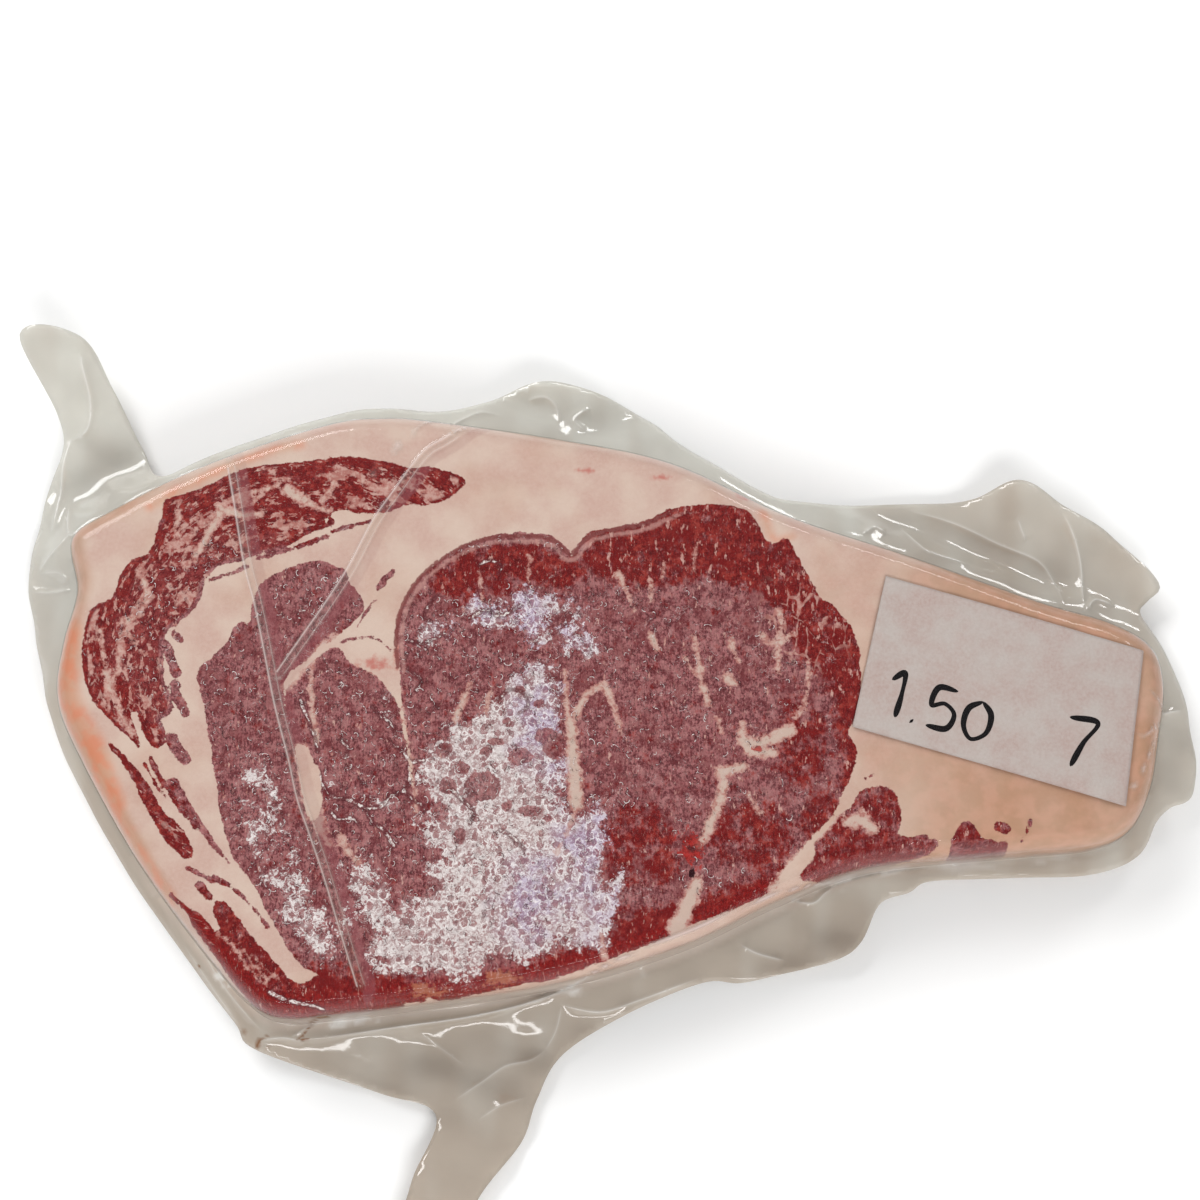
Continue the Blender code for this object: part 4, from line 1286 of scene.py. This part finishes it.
def beef_material():
    """Raw beef cut with a knife and held under film: speckled mauve lean with a wet red where it is fresh,
    firm pinkish fat, and white smears where fat and air are pressed against the film."""
    s = Shade("raw_beef_knife_cut")
    grain = s.field("grain", "Vector")
    marble = s.field("marble")
    cap = s.ramp(marble, 0.6, 0.95)

    # Lean against fat, with a ragged edge
    rough_noise = s.noise(1.4, 3.0, 0.65)
    wide_noise = s.noise(4.5, 2.0)
    ragged = s.plus(s.centred(rough_noise, 0.75), s.centred(wide_noise, 0.7))
    lobes = s.times(cap, s.centred(s.noise(1.0, 2.0, where=s.stretched(grain, 7.0, 3.0)), 3.2))
    lean_mask = s.ramp(s.plus(s.field("lean"), s.plus(ragged, lobes)), -0.1, 0.2)

    # Fat in the lean: drawn veins with frayed edges, flecks along the fibres, and lines between the lumps
    blotch = s.noise(2.3, 3.0, 0.7)
    frayed = s.plus(s.centred(s.noise(0.9, 3.0, 0.7), 0.9), s.centred(blotch, 1.7))
    vein = s.plus(s.field("vein"), frayed)
    vein_mask = s.ramp(vein, -0.35, 0.4)
    flecks = s.noise(1.0, 3.0, 0.62, where=s.stretched(grain, 4.6, 1.8))
    fleck_level = s.ramp(marble, 0.0, 1.0, 0.71, 0.62)
    fleck_mask = s.ramp(s.minus(flecks, fleck_level), -0.012, 0.03)
    fine = s.noise(1.0, 3.0, 0.66, where=s.stretched(grain, 1.9, 0.75))
    fine_level = s.ramp(marble, 0.0, 1.0, 0.65, 0.67)
    fine_mask = s.times(s.ramp(s.minus(fine, fine_level), -0.02, 0.05), 0.6)
    lumps = s.edges(s.warped(s.stretched(grain, 9.0, 4.2), 1.0, 0.9))
    region = s.centred(s.noise(1.0, 2.0, 0.6, where=s.stretched(grain, 12.0, 5.0)), 0.75)
    between = s.plus(s.plus(lumps, region), s.centred(rough_noise, 0.22))
    lump_mask = s.times(s.ramp(between, 0.04, -0.09), cap)
    bundles = s.plus(s.edges(s.warped(s.stretched(grain, 4.4, 1.9), 0.9, 0.9)), s.centred(rough_noise, 0.3))
    bundle_mask = s.times(s.times(s.ramp(s.plus(bundles, s.times(region, 0.6)), 0.03, -0.06), cap), 0.7)
    bent = s.warped(s.stretched(s.mm, 3.4, 6.0), 1.6, 0.75)
    broken = s.plus(s.edges(bent), s.centred(wide_noise, 0.34))
    net_mask = s.times(s.ramp(broken, 0.07, 0.0), s.ramp(s.field("network"), 0.15, 0.7))
    lines = s.most(s.most(lump_mask, bundle_mask), s.times(net_mask, 0.85))
    fat_in_lean = s.most(s.most(fleck_mask, fine_mask), lines)

    # Lean: dark and pale specks over soft clouds, mauve where it has dulled and red where it is wet
    round_speck = s.noise(0.62, 3.0, 0.8)
    long_speck = s.noise(1.0, 3.0, 0.72, where=s.stretched(grain, 1.9, 0.5))
    speck = s.plus(s.times(round_speck, 0.6), s.times(long_speck, 0.4))
    cloud = s.noise(7.5, 2.0, 0.6)
    mauve = s.mix(s.ramp(speck, 0.41, 0.59), "#55262A", "#9E6263")
    mauve = s.mix(s.ramp(blotch, 0.46, 0.64, 0.0, 0.6), mauve, "#A97472")
    mauve = s.mix(s.ramp(blotch, 0.50, 0.32, 0.0, 0.8), mauve, "#5F262A")
    mauve = s.mix(s.ramp(cloud, 0.52, 0.36, 0.0, 0.45), mauve, "#6E2F31")
    red = s.mix(s.ramp(speck, 0.38, 0.62), "#560B0E", "#82201E")
    red = s.mix(s.ramp(blotch, 0.50, 0.66, 0.0, 0.65), red, "#9C3C33")
    red = s.mix(s.ramp(blotch, 0.48, 0.34, 0.0, 0.55), red, "#4E0A0E")
    red = s.mix(s.ramp(cloud, 0.50, 0.34, 0.0, 0.6), red, "#6E0F10")
    fibres = s.noise(1.0, 2.0, 0.6, where=s.stretched(grain, 3.0, 1.2))
    wetness = s.plus(s.field("wet"), s.plus(s.centred(s.noise(3.2, 4.0, 0.7), 1.7), s.centred(fibres, 0.5)))
    wet = s.ramp(wetness, 0.1, 0.9)
    lean_colour = s.mix(s.most(wet, s.times(cap, 0.8)), mauve, red)
    pressed = s.mix(s.ramp(speck, 0.42, 0.58), "#620507", "#8B1512")
    lean_colour = s.mix(s.times(s.field("rim"), 0.75), lean_colour, pressed)
    spotted = s.ramp(s.plus(s.field("amber_spot"), s.centred(blotch, 1.4)), 0.2, 0.6)
    lean_colour = s.mix(s.times(spotted, 0.75), lean_colour, "#A5644A")

    # Fat: pale and firm, warmer at the rim and the tail
    fat = s.mix(s.ramp(s.noise(11.0, 2.0), 0.3, 0.7), "#C9B2A3", "#BF9F92")
    fat = s.mix(s.ramp(s.noise(0.9, 3.0, 0.7), 0.3, 0.75, 0.0, 0.3), fat, "#D2BDB0")
    warm = s.mix(s.ramp(wide_noise, 0.36, 0.64), "#B98A6F", "#AB8163")
    fat = s.mix(s.times(s.field("amber"), 0.85), fat, warm)
    orange = s.mix(s.ramp(wide_noise, 0.36, 0.64), "#CC7A56", "#C39074")
    fat = s.mix(s.times(s.field("orange"), 0.74), fat, orange)
    blush = s.ramp(s.plus(s.field("blush"), s.centred(blotch, 1.3)), -0.05, 1.0)
    fat = s.mix(s.times(blush, 0.72), fat, "#B25A50")
    lean_fat = s.mix(s.ramp(rough_noise, 0.38, 0.62), "#C49C91", "#AB7268")
    colour = s.mix(s.times(fat_in_lean, 0.85), lean_colour, lean_fat)
    pale_vein = s.mix(s.ramp(vein, 0.3, 1.2), lean_fat, "#C6AFA1")
    colour = s.mix(s.times(vein_mask, 0.9), colour, pale_vein)

    # The smooth purple band beside a pleat, with no smears: darker from the pleat's painted shade, over the
    # fat as well
    band = s.ramp(s.plus(s.field("band"), s.centred(wide_noise, 0.5)), -0.3, 0.5)
    band_shade_colour = "#83474B"
    colour = s.mix(s.times(band, 0.55), colour, band_shade_colour)
    fat = s.mix(s.times(band, 0.14), fat, band_shade_colour)

    # The sheath round the eye: a dark line and a paler one within
    pink = s.ramp(s.plus(s.field("sheath_inner"), s.centred(blotch, 1.0)), -0.4, 0.5)
    sheath = s.ramp(s.plus(s.field("sheath"), s.centred(rough_noise, 0.7)), -0.15, 0.25)
    colour = s.mix(s.times(pink, 0.62), colour, "#B98C84")
    sheath_colour = s.mix(s.ramp(rough_noise, 0.35, 0.6), "#6A2F2F", "#7C4340")
    colour = s.mix(s.times(sheath, 0.9), colour, sheath_colour)
    fat = s.mix(s.times(sheath, 0.9), fat, sheath_colour)

    # White smears of fat and air, their white partly painted glare of the lamps: a sheet that breaks into
    # fragments at its border, pitted with small cells and curls
    thin = s.field("thin_frost")
    drift = s.centred(s.noise(7.0, 2.0, 0.62), 8.0)
    tangle = s.noise(2.8, 3.0, 0.6, distortion=1.4)
    curls = s.noise(1.15, 3.0, 0.72, distortion=1.2)
    reach = s.plus(s.minus(s.field("frost_glare"), s.times(thin, 2.4)), s.plus(drift, s.centred(tangle, 4.5)))
    density = s.ramp(reach, -3.0, 3.6)
    island = s.ramp(s.plus(s.field("island"), s.centred(blotch, 1.2)), -0.15, 0.3)
    torn = s.ramp(s.plus(reach, s.centred(curls, 6.5)), -0.1, 1.6)
    pit_place = s.warped(s.stretched(s.mm, 1.9, 2.3), 1.0, 0.7)
    pit_distance, pit_size = s.cells(pit_place)
    pit = s.minus(pit_distance, s.ramp(pit_size, 0.35, 0.72, -0.1, 0.5))
    pit_mask = s.ramp(s.plus(pit, s.centred(curls, 0.35)), 0.06, -0.06)
    kept = s.times(s.ramp(island, 0.0, 1.0, 1.0, 0.06), s.ramp(pit_mask, 0.0, 1.0, 1.0, 0.18))
    open_sheet = s.times(torn, kept)
    # Painted reflection of a bluish lamp: a violet tint in the smears
    violet_reflection = s.times(s.ramp(cloud, 0.36, 0.62, 0.15, 0.85), s.field("violet_reflection"))
    on_lean = s.ramp(vein_mask, 0.0, 1.0, 1.0, 0.35)
    outside = s.ramp(island, 0.0, 1.0, 1.0, 0.2)
    # The smears' colours: the own white of fat and air, made brighter with painted glare
    dim = s.mix(violet_reflection, "#9C7877", "#8F7890")
    grey = s.mix(violet_reflection, "#A98F8D", "#967D94")
    pale = s.mix(violet_reflection, "#DAD3D0", "#C3B8CC")
    white = s.mix(s.ramp(s.plus(curls, s.centred(tangle, 0.28)), 0.38, 0.62), grey, pale)
    colour = s.mix(s.times(s.times(s.ramp(density, 0.15, 1.0), 0.5), s.times(on_lean, outside)), colour, dim)
    colour = s.mix(s.times(s.times(open_sheet, 0.85), on_lean), colour, white)
    lace = s.most(s.line(tangle, 0.52, 0.02), s.line(pit, 0.10, 0.09))
    lace = s.times(s.times(lace, s.ramp(density, 0.25, 0.7)), s.times(s.ramp(curls, 0.36, 0.52), outside))
    colour = s.mix(s.times(s.times(lace, 0.65), on_lean), colour, "#F0EBE8")
    dark_curl = s.times(s.line(curls, 0.43, 0.016), s.ramp(density, 0.1, 0.5))
    colour = s.mix(s.times(s.times(dark_curl, 0.5), on_lean), colour, "#5B2A2E")
    # Glassy lines in the smears: a dark edge and a white core, the white partly painted glare like the
    # smears'
    glass = s.plus(s.field("glass"), s.centred(blotch, 0.7))
    colour = s.mix(s.times(s.ramp(glass, -0.62, -0.3), 0.65), colour, "#552327")
    glassy_glare = s.mix(s.ramp(curls, 0.42, 0.56), "#9A7472", "#EFE9E3")
    colour = s.mix(s.times(s.ramp(glass, -0.12, 0.1), 0.8), colour, glassy_glare)
    stray = s.times(s.line(tangle, 0.43, 0.010), s.ramp(s.plus(wide_noise, s.times(wet, -0.12)), 0.5, 0.6))
    colour = s.mix(s.times(stray, 0.7), colour, "#C9B8B5")

    # Fresh blood, and the dark hole of a vessel
    blood = s.ramp(s.plus(s.field("blood"), s.centred(blotch, 1.8)), 0.2, 0.6)
    colour = s.mix(s.times(blood, 0.85), colour, s.mix(s.ramp(blotch, 0.4, 0.64), "#4A0608", "#A51D17"))
    hole = s.ramp(s.plus(s.field("hole"), s.centred(rough_noise, 0.5)), 0.1, 0.4)
    colour = s.mix(hole, colour, "#2A080E")

    relief = s.bump(s.plus(s.times(blotch, 0.6), s.times(curls, 0.5)), 0.3, 0.9)
    moist = {"IOR": 1.3, "Specular IOR Level": 0.16}
    lean_shader = add(s.tree, "ShaderNodeBsdfPrincipled", {
        "Base Color": colour, "Roughness": s.ramp(wet, 0.0, 1.0, 0.55, 0.4), "Normal": relief, **moist,
    }).outputs[0]
    fat_roughness = s.ramp(wide_noise, 0.3, 0.7, 0.45, 0.55)
    fat_shader = add(s.tree, "ShaderNodeBsdfPrincipled", {
        "Base Color": fat, "Roughness": fat_roughness, "Normal": s.bump(wide_noise, 0.3, 0.7), **moist,
    }).outputs[0]
    both = add(s.tree, "ShaderNodeMixShader", {0: lean_mask, 1: fat_shader, 2: lean_shader}).outputs[0]
    return s.finish(both)


FILM_GLOSS = 0.024


def film_material(name, body_share):
    """Clear co-extruded bag film, drawn tight by the vacuum: bright streaks along its folds, milky plies with
    painted highlights, a thin grey veil where it lies in two plies, and no colour where it is drawn on the
    meat. Over the near wall it is painted paler as painted light, with painted glints."""
    s = Shade(name)
    cool, warm = "#E2E0D7", "#C2B5A6"
    veil = s.mix(s.field("warmth"), cool, warm)
    fold = s.field("fold")
    # Painted light: the film over the near wall is painted paler for light it does not get there
    veil = s.mix(s.times(s.field("tent"), 0.75), veil, "#E8D8CA")
    # Painted highlights: the fold lines and near-wall glints turn the veil white, over milky plies
    veil = s.mix(fold, veil, s.mix(s.field("haze"), "#EFDCDA", "#FFFDF8"))
    veil = s.mix(s.field("juice"), veil, "#8A5A30")
    haze = s.times(s.field("haze"), body_share)
    crest_share = s.times(fold, s.ramp(s.field("haze"), 0.0, 1.0, 0.6, 1.0))
    share = s.most(s.most(haze, crest_share), s.times(s.field("juice"), 0.8))
    share = s.times(share, s.minus(2.0, share))
    surface = s.bump(s.noise(2.6, 0.0), 0.12, 0.5)
    # The diffuse normal is tipped upwards over the tent, so that it is lit like level film
    lifted = s.math("SCALE", (0.0, 0.0, 1.6), s.field("tent"))
    raised = add(s.tree, "ShaderNodeVectorMath", {0: surface, 1: lifted}, operation="ADD").outputs[0]
    scatter = add(s.tree, "ShaderNodeVectorMath", {0: raised}, operation="NORMALIZE").outputs[0]
    top_lit = add(s.tree, "ShaderNodeBsdfDiffuse", {"Color": veil, "Normal": scatter}).outputs[0]
    lit_through = add(s.tree, "ShaderNodeBsdfTranslucent", {"Color": veil, "Normal": surface}).outputs[0]
    matte = add(s.tree, "ShaderNodeMixShader", {0: 0.3, 1: top_lit, 2: lit_through}).outputs[0]
    clear = add(s.tree, "ShaderNodeBsdfTransparent").outputs[0]
    sheet = add(s.tree, "ShaderNodeMixShader", {0: share, 1: clear, 2: matte}).outputs[0]
    gloss = add(s.tree, "ShaderNodeBsdfGlossy", {"Roughness": 0.09, "Normal": surface}).outputs[0]
    facing = add(s.tree, "ShaderNodeLayerWeight", {"Blend": 0.5, "Normal": surface}).outputs["Facing"]
    grazing = s.math("MULTIPLY_ADD", s.math("POWER", facing, 5.0), 0.8, FILM_GLOSS)
    mirror = s.plus(grazing, s.times(s.field("haze"), 0.05))
    entering = add(s.tree, "ShaderNodeMixShader", {0: mirror, 1: sheet, 2: gloss}).outputs[0]
    leaving = add(s.tree, "ShaderNodeNewGeometry").outputs["Backfacing"]
    plain = add(s.tree, "ShaderNodeBsdfTransparent").outputs[0]
    return s.finish(add(s.tree, "ShaderNodeMixShader", {0: leaving, 1: entering, 2: plain}).outputs[0])


def paper_material():
    """Uncoated writing paper gone a little damp: soft white with pink and grey clouds, and fine fibres."""
    s = Shade("uncoated_paper_damp")
    base = s.mix(s.ramp(s.noise(9.0, 4.0, 0.6), 0.3, 0.7), "#B3A8A1", "#AD978F")
    base = s.mix(s.ramp(s.noise(0.8, 3.0, 0.7), 0.3, 0.7, 0.0, 0.4), base, "#BFB6B1")
    shader = add(s.tree, "ShaderNodeBsdfPrincipled", {
        "Base Color": base, "Roughness": 0.72, "Normal": s.bump(s.noise(0.6, 4.0, 0.7), 0.06, 0.6),
    }).outputs[0]
    return s.finish(shader)


def ink_material():
    """Felt pen ink dried on paper: near black, a little uneven."""
    s = Shade("felt_pen_ink_dried")
    base = s.mix(s.ramp(s.noise(0.9, 3.0), 0.3, 0.7), "#060405", "#100B0D")
    shader = add(s.tree, "ShaderNodeBsdfPrincipled", {
        "Base Color": base, "Roughness": 0.6, "Specular IOR Level": 0.1,
    }).outputs[0]
    return s.finish(shader)


def floor_material():
    """Matte white painted board: plain and pale."""
    s = Shade("white_board_painted")
    shader = add(
        s.tree, "ShaderNodeBsdfPrincipled", {"Base Color": linear("#FBFBFA"), "Roughness": 0.9}
    ).outputs[0]
    return s.finish(shader)


# Air bubbles: sizes in millimetres, and the share of the places that carry one
BUBBLE_SPACING, BUBBLE_SCATTER = 2.2, 1.3
BUBBLE_SHARE = 0.62
BUBBLE_RADIUS, BUBBLE_BEAD, BUBBLE_LIFT = 0.75, 0.11, 0.16
BUBBLE_FAR_SIDE, BUBBLE_FAR_SPREAD = (700, 700), 40
BUBBLE_SEED = 4
BUBBLE_ARC = math.radians(205)


def bubble_tree():
    """Geometry Nodes: short curled air bubbles scattered on points, turned and sized at random."""
    tree = bpy.data.node_groups.new("air_bubbles", "GeometryNodeTree")
    face = tree.interface
    face.new_socket("Points", in_out="INPUT", socket_type="NodeSocketGeometry")
    for name, kind in (("Radius", "Float"), ("Bead", "Float"), ("Seed", "Int"), ("Material", "Material")):
        face.new_socket(name, in_out="INPUT", socket_type="NodeSocket" + kind)
    face.new_socket("Bubbles", in_out="OUTPUT", socket_type="NodeSocketGeometry")
    given = add(tree, "NodeGroupInput").outputs
    arc = add(tree, "GeometryNodeCurveArc", {
        "Resolution": 7, "Radius": given["Radius"], "Sweep Angle": BUBBLE_ARC, "Start Angle": 0.0,
    }, mode="RADIUS").outputs[0]
    circle = {"Resolution": 5, "Radius": given["Bead"]}
    bead = add(tree, "GeometryNodeCurvePrimitiveCircle", circle).outputs[0]
    sweep = {"Curve": arc, "Profile Curve": bead, "Fill Caps": True}
    tube = add(tree, "GeometryNodeCurveToMesh", sweep).outputs[0]
    turn = add(tree, "FunctionNodeRandomValue", {
        "Min": (0.0, 0.0, 0.0), "Max": (0.3, 0.3, 2 * math.pi), "Seed": given["Seed"],
    }, data_type="FLOAT_VECTOR").outputs[0]
    size = add(tree, "FunctionNodeRandomValue", {
        "Min": (0.3, 0.2, 0.5), "Max": (1.3, 0.8, 0.8), "Seed": given["Seed"],
    }, data_type="FLOAT_VECTOR").outputs[0]
    placed = add(tree, "GeometryNodeInstanceOnPoints", {
        "Points": given["Points"], "Instance": tube, "Rotation": turn, "Scale": size,
    }).outputs[0]
    real = add(tree, "GeometryNodeRealizeInstances", {"Geometry": placed}).outputs[0]
    finish = {"Geometry": real, "Material": given["Material"]}
    dressed = add(tree, "GeometryNodeSetMaterial", finish).outputs[0]
    add(tree, "NodeGroupOutput", {"Bubbles": dressed})
    return tree


def bubble_points():
    """Where air is caught under the film: over the lean that is neither wet nor under a pleat."""
    spots = honeycomb(OUTLINE, BUBBLE_SPACING)
    draw = np.random.RandomState(BUBBLE_SEED)
    spots = spots + draw.uniform(-BUBBLE_SCATTER, BUBBLE_SCATTER, spots.shape)
    deep = lean_depth(spots)
    wet = wet_field(spots)
    clear = (deep > 0.8) & (wet < 0.5) & (pleat_band(spots) < -0.5) & (depth_inside(spots, OUTLINE) > 9)
    blur = draw.uniform(-BUBBLE_FAR_SPREAD, BUBBLE_FAR_SPREAD, len(spots))
    clear &= spots[:, 0] < px([BUBBLE_FAR_SIDE])[0][0] + blur
    clear &= draw.uniform(0, 1, len(spots)) < BUBBLE_SHARE
    spots = spots[clear]
    return place_in_row(spots, top_level(spots) + BUBBLE_LIFT)


def build_bubbles(material):
    """The air bubbles as one plain mesh."""
    seed_mesh = bpy.data.meshes.new("bubble_points")
    seed_mesh.from_pydata(bubble_points().tolist(), [], [])
    seed = bpy.data.objects.new("bubble_points", seed_mesh)
    bpy.context.scene.collection.objects.link(seed)
    tree = bubble_tree()
    modifier = seed.modifiers.new("bubbles", "NODES")
    modifier.node_group = tree
    values = {
        "Radius": BUBBLE_RADIUS * MM, "Bead": BUBBLE_BEAD * MM, "Seed": BUBBLE_SEED, "Material": material,
    }
    for item in tree.interface.items_tree:
        if item.item_type == "SOCKET" and item.in_out == "INPUT" and item.name in values:
            modifier[item.identifier] = values[item.name]
    bpy.context.view_layer.update()
    made = seed.evaluated_get(bpy.context.evaluated_depsgraph_get())
    mesh = bpy.data.meshes.new_from_object(made)
    mesh.name = "air_bubbles"
    bpy.data.objects.remove(seed)
    mesh.shade_smooth()
    return mesh


def bubble_material():
    """Air caught between film and meat: thin curls, some painted as pale glints and some as dark shadows, by
    a noise.
    """
    s = Shade("trapped_air_painted_glint_shade")
    # Painted highlight and shadow: a pale glint colour and a dark shadow colour, chosen by noise
    base = s.mix(s.ramp(s.noise(2.0, 2.0), 0.47, 0.53), "#D9CFCC", "#4A2628")
    shader = add(s.tree, "ShaderNodeBsdfPrincipled", {"Base Color": base, "Roughness": 0.25}).outputs[0]
    return s.finish(shader)


def show(name, mesh, material, slot, *nodes):
    """A finished piece: it rides on the one body, takes the finish given and may stand for nodes; the slot is
    not used.
    """
    mesh.materials.clear()
    mesh.materials.append(material)
    piece = bpy.data.objects.new(name, mesh)
    bpy.context.scene.collection.objects.link(piece)
    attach(piece, "root")
    if nodes:
        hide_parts(*nodes)
    return piece


# Half the floor's breadth and how far it lies under the pack, in metres
FLOOR_HALF = 2.5
FLOOR_DROP = 0.0004


def build_floor():
    """A plain pale floor."""
    mesh = bpy.data.meshes.new("floor")
    corners = [(x * FLOOR_HALF, y * FLOOR_HALF, 0) for x, y in ((-1, -1), (1, -1), (1, 1), (-1, 1))]
    mesh.from_pydata(corners, [], [(0, 1, 2, 3)])
    mesh.materials.append(floor_material())
    floor = bpy.data.objects.new("floor", mesh)
    bpy.context.scene.collection.objects.link(floor)
    floor.location.z = -FLOOR_DROP


# Soft boxes: place, width and depth in metres, power in watts, and whether gloss mirrors them
SOFTBOXES = {
    "window": ((-0.75, 0.95, 1.05), 1.0, 0.6, 15.0, True),
    "room": ((0.35, -1.15, 1.15), 1.2, 0.6, 16.0, False),
    "strip": ((-0.1, -1.6, 0.35), 1.2, 0.12, 4.0, True),
    "back": ((0.75, 1.25, 0.85), 0.5, 0.25, 4.0, True),
}
AMBIENT_COLOUR, AMBIENT_STRENGTH = "#F4F5F7", 0.42


def add_softbox(name, place, width, depth, power, reflected):
    """A soft box turned to the pack."""
    light = bpy.data.lights.new(name, "AREA")
    light.shape = "RECTANGLE"
    light.size = width
    light.size_y = depth
    light.energy = power
    box = bpy.data.objects.new(name, light)
    box.location = place
    box.visible_glossy = reflected
    box.rotation_euler = (Vector((0, 0, 0.02)) - Vector(place)).to_track_quat("-Z", "Y").to_euler()
    bpy.context.scene.collection.objects.link(box)


def light_scene():
    """Soft studio light from all round."""
    for name, settings in SOFTBOXES.items():
        add_softbox(name, *settings)
    world = bpy.data.worlds.new("pale_room")
    world.use_nodes = True
    background = world.node_tree.nodes["Background"].inputs
    background["Color"].default_value = linear(AMBIENT_COLOUR)
    background["Strength"].default_value = AMBIENT_STRENGTH
    bpy.context.scene.world = world
    bpy.context.scene.view_settings.view_transform = "Standard"


def set_camera():
    """The photograph's own view."""
    sin, cos = math.sin(CAMERA_TILT), math.cos(CAMERA_TILT)
    aim = Vector((*PLAN_SHIFT, AIM_HEIGHT)) * MM
    data = bpy.data.cameras.new("camera")
    data.sensor_width = SENSOR_WIDTH
    data.sensor_fit = "HORIZONTAL"
    data.lens = CAMERA_DISTANCE / MM_PER_PIXEL * SENSOR_WIDTH / PHOTO_WIDTH
    data.clip_start = 0.01
    camera = bpy.data.objects.new("camera", data)
    camera.location = aim + Vector((0, -CAMERA_DISTANCE * sin, CAMERA_DISTANCE * cos)) * MM
    camera.rotation_euler = (aim - camera.location).to_track_quat("-Z", "Y").to_euler()
    bpy.context.scene.collection.objects.link(camera)
    bpy.context.scene.camera = camera


def main():
    set_camera()
    light_scene()
    build_floor()
    show("steak_meat", build_steak(), beef_material(), "raw_beef", "steak")
    upper_finish = film_material("vacuum_film_upper", 0.72)
    show("film_upper", build_film_upper(), upper_finish, "clear_film", "vacuum_bag")
    lower_finish = film_material("vacuum_film_lower", 0.8)
    show("film_lower", build_film_lower(), lower_finish, "clear_film", "vacuum_bag")
    show("paper_slip", build_label(), paper_material(), "paper", "label")
    show("pen_notes", build_pen_notes(), ink_material(), "paper")
    air = bubble_material()
    show("air_bubbles", build_bubbles(air), air, "clear_film")


main()
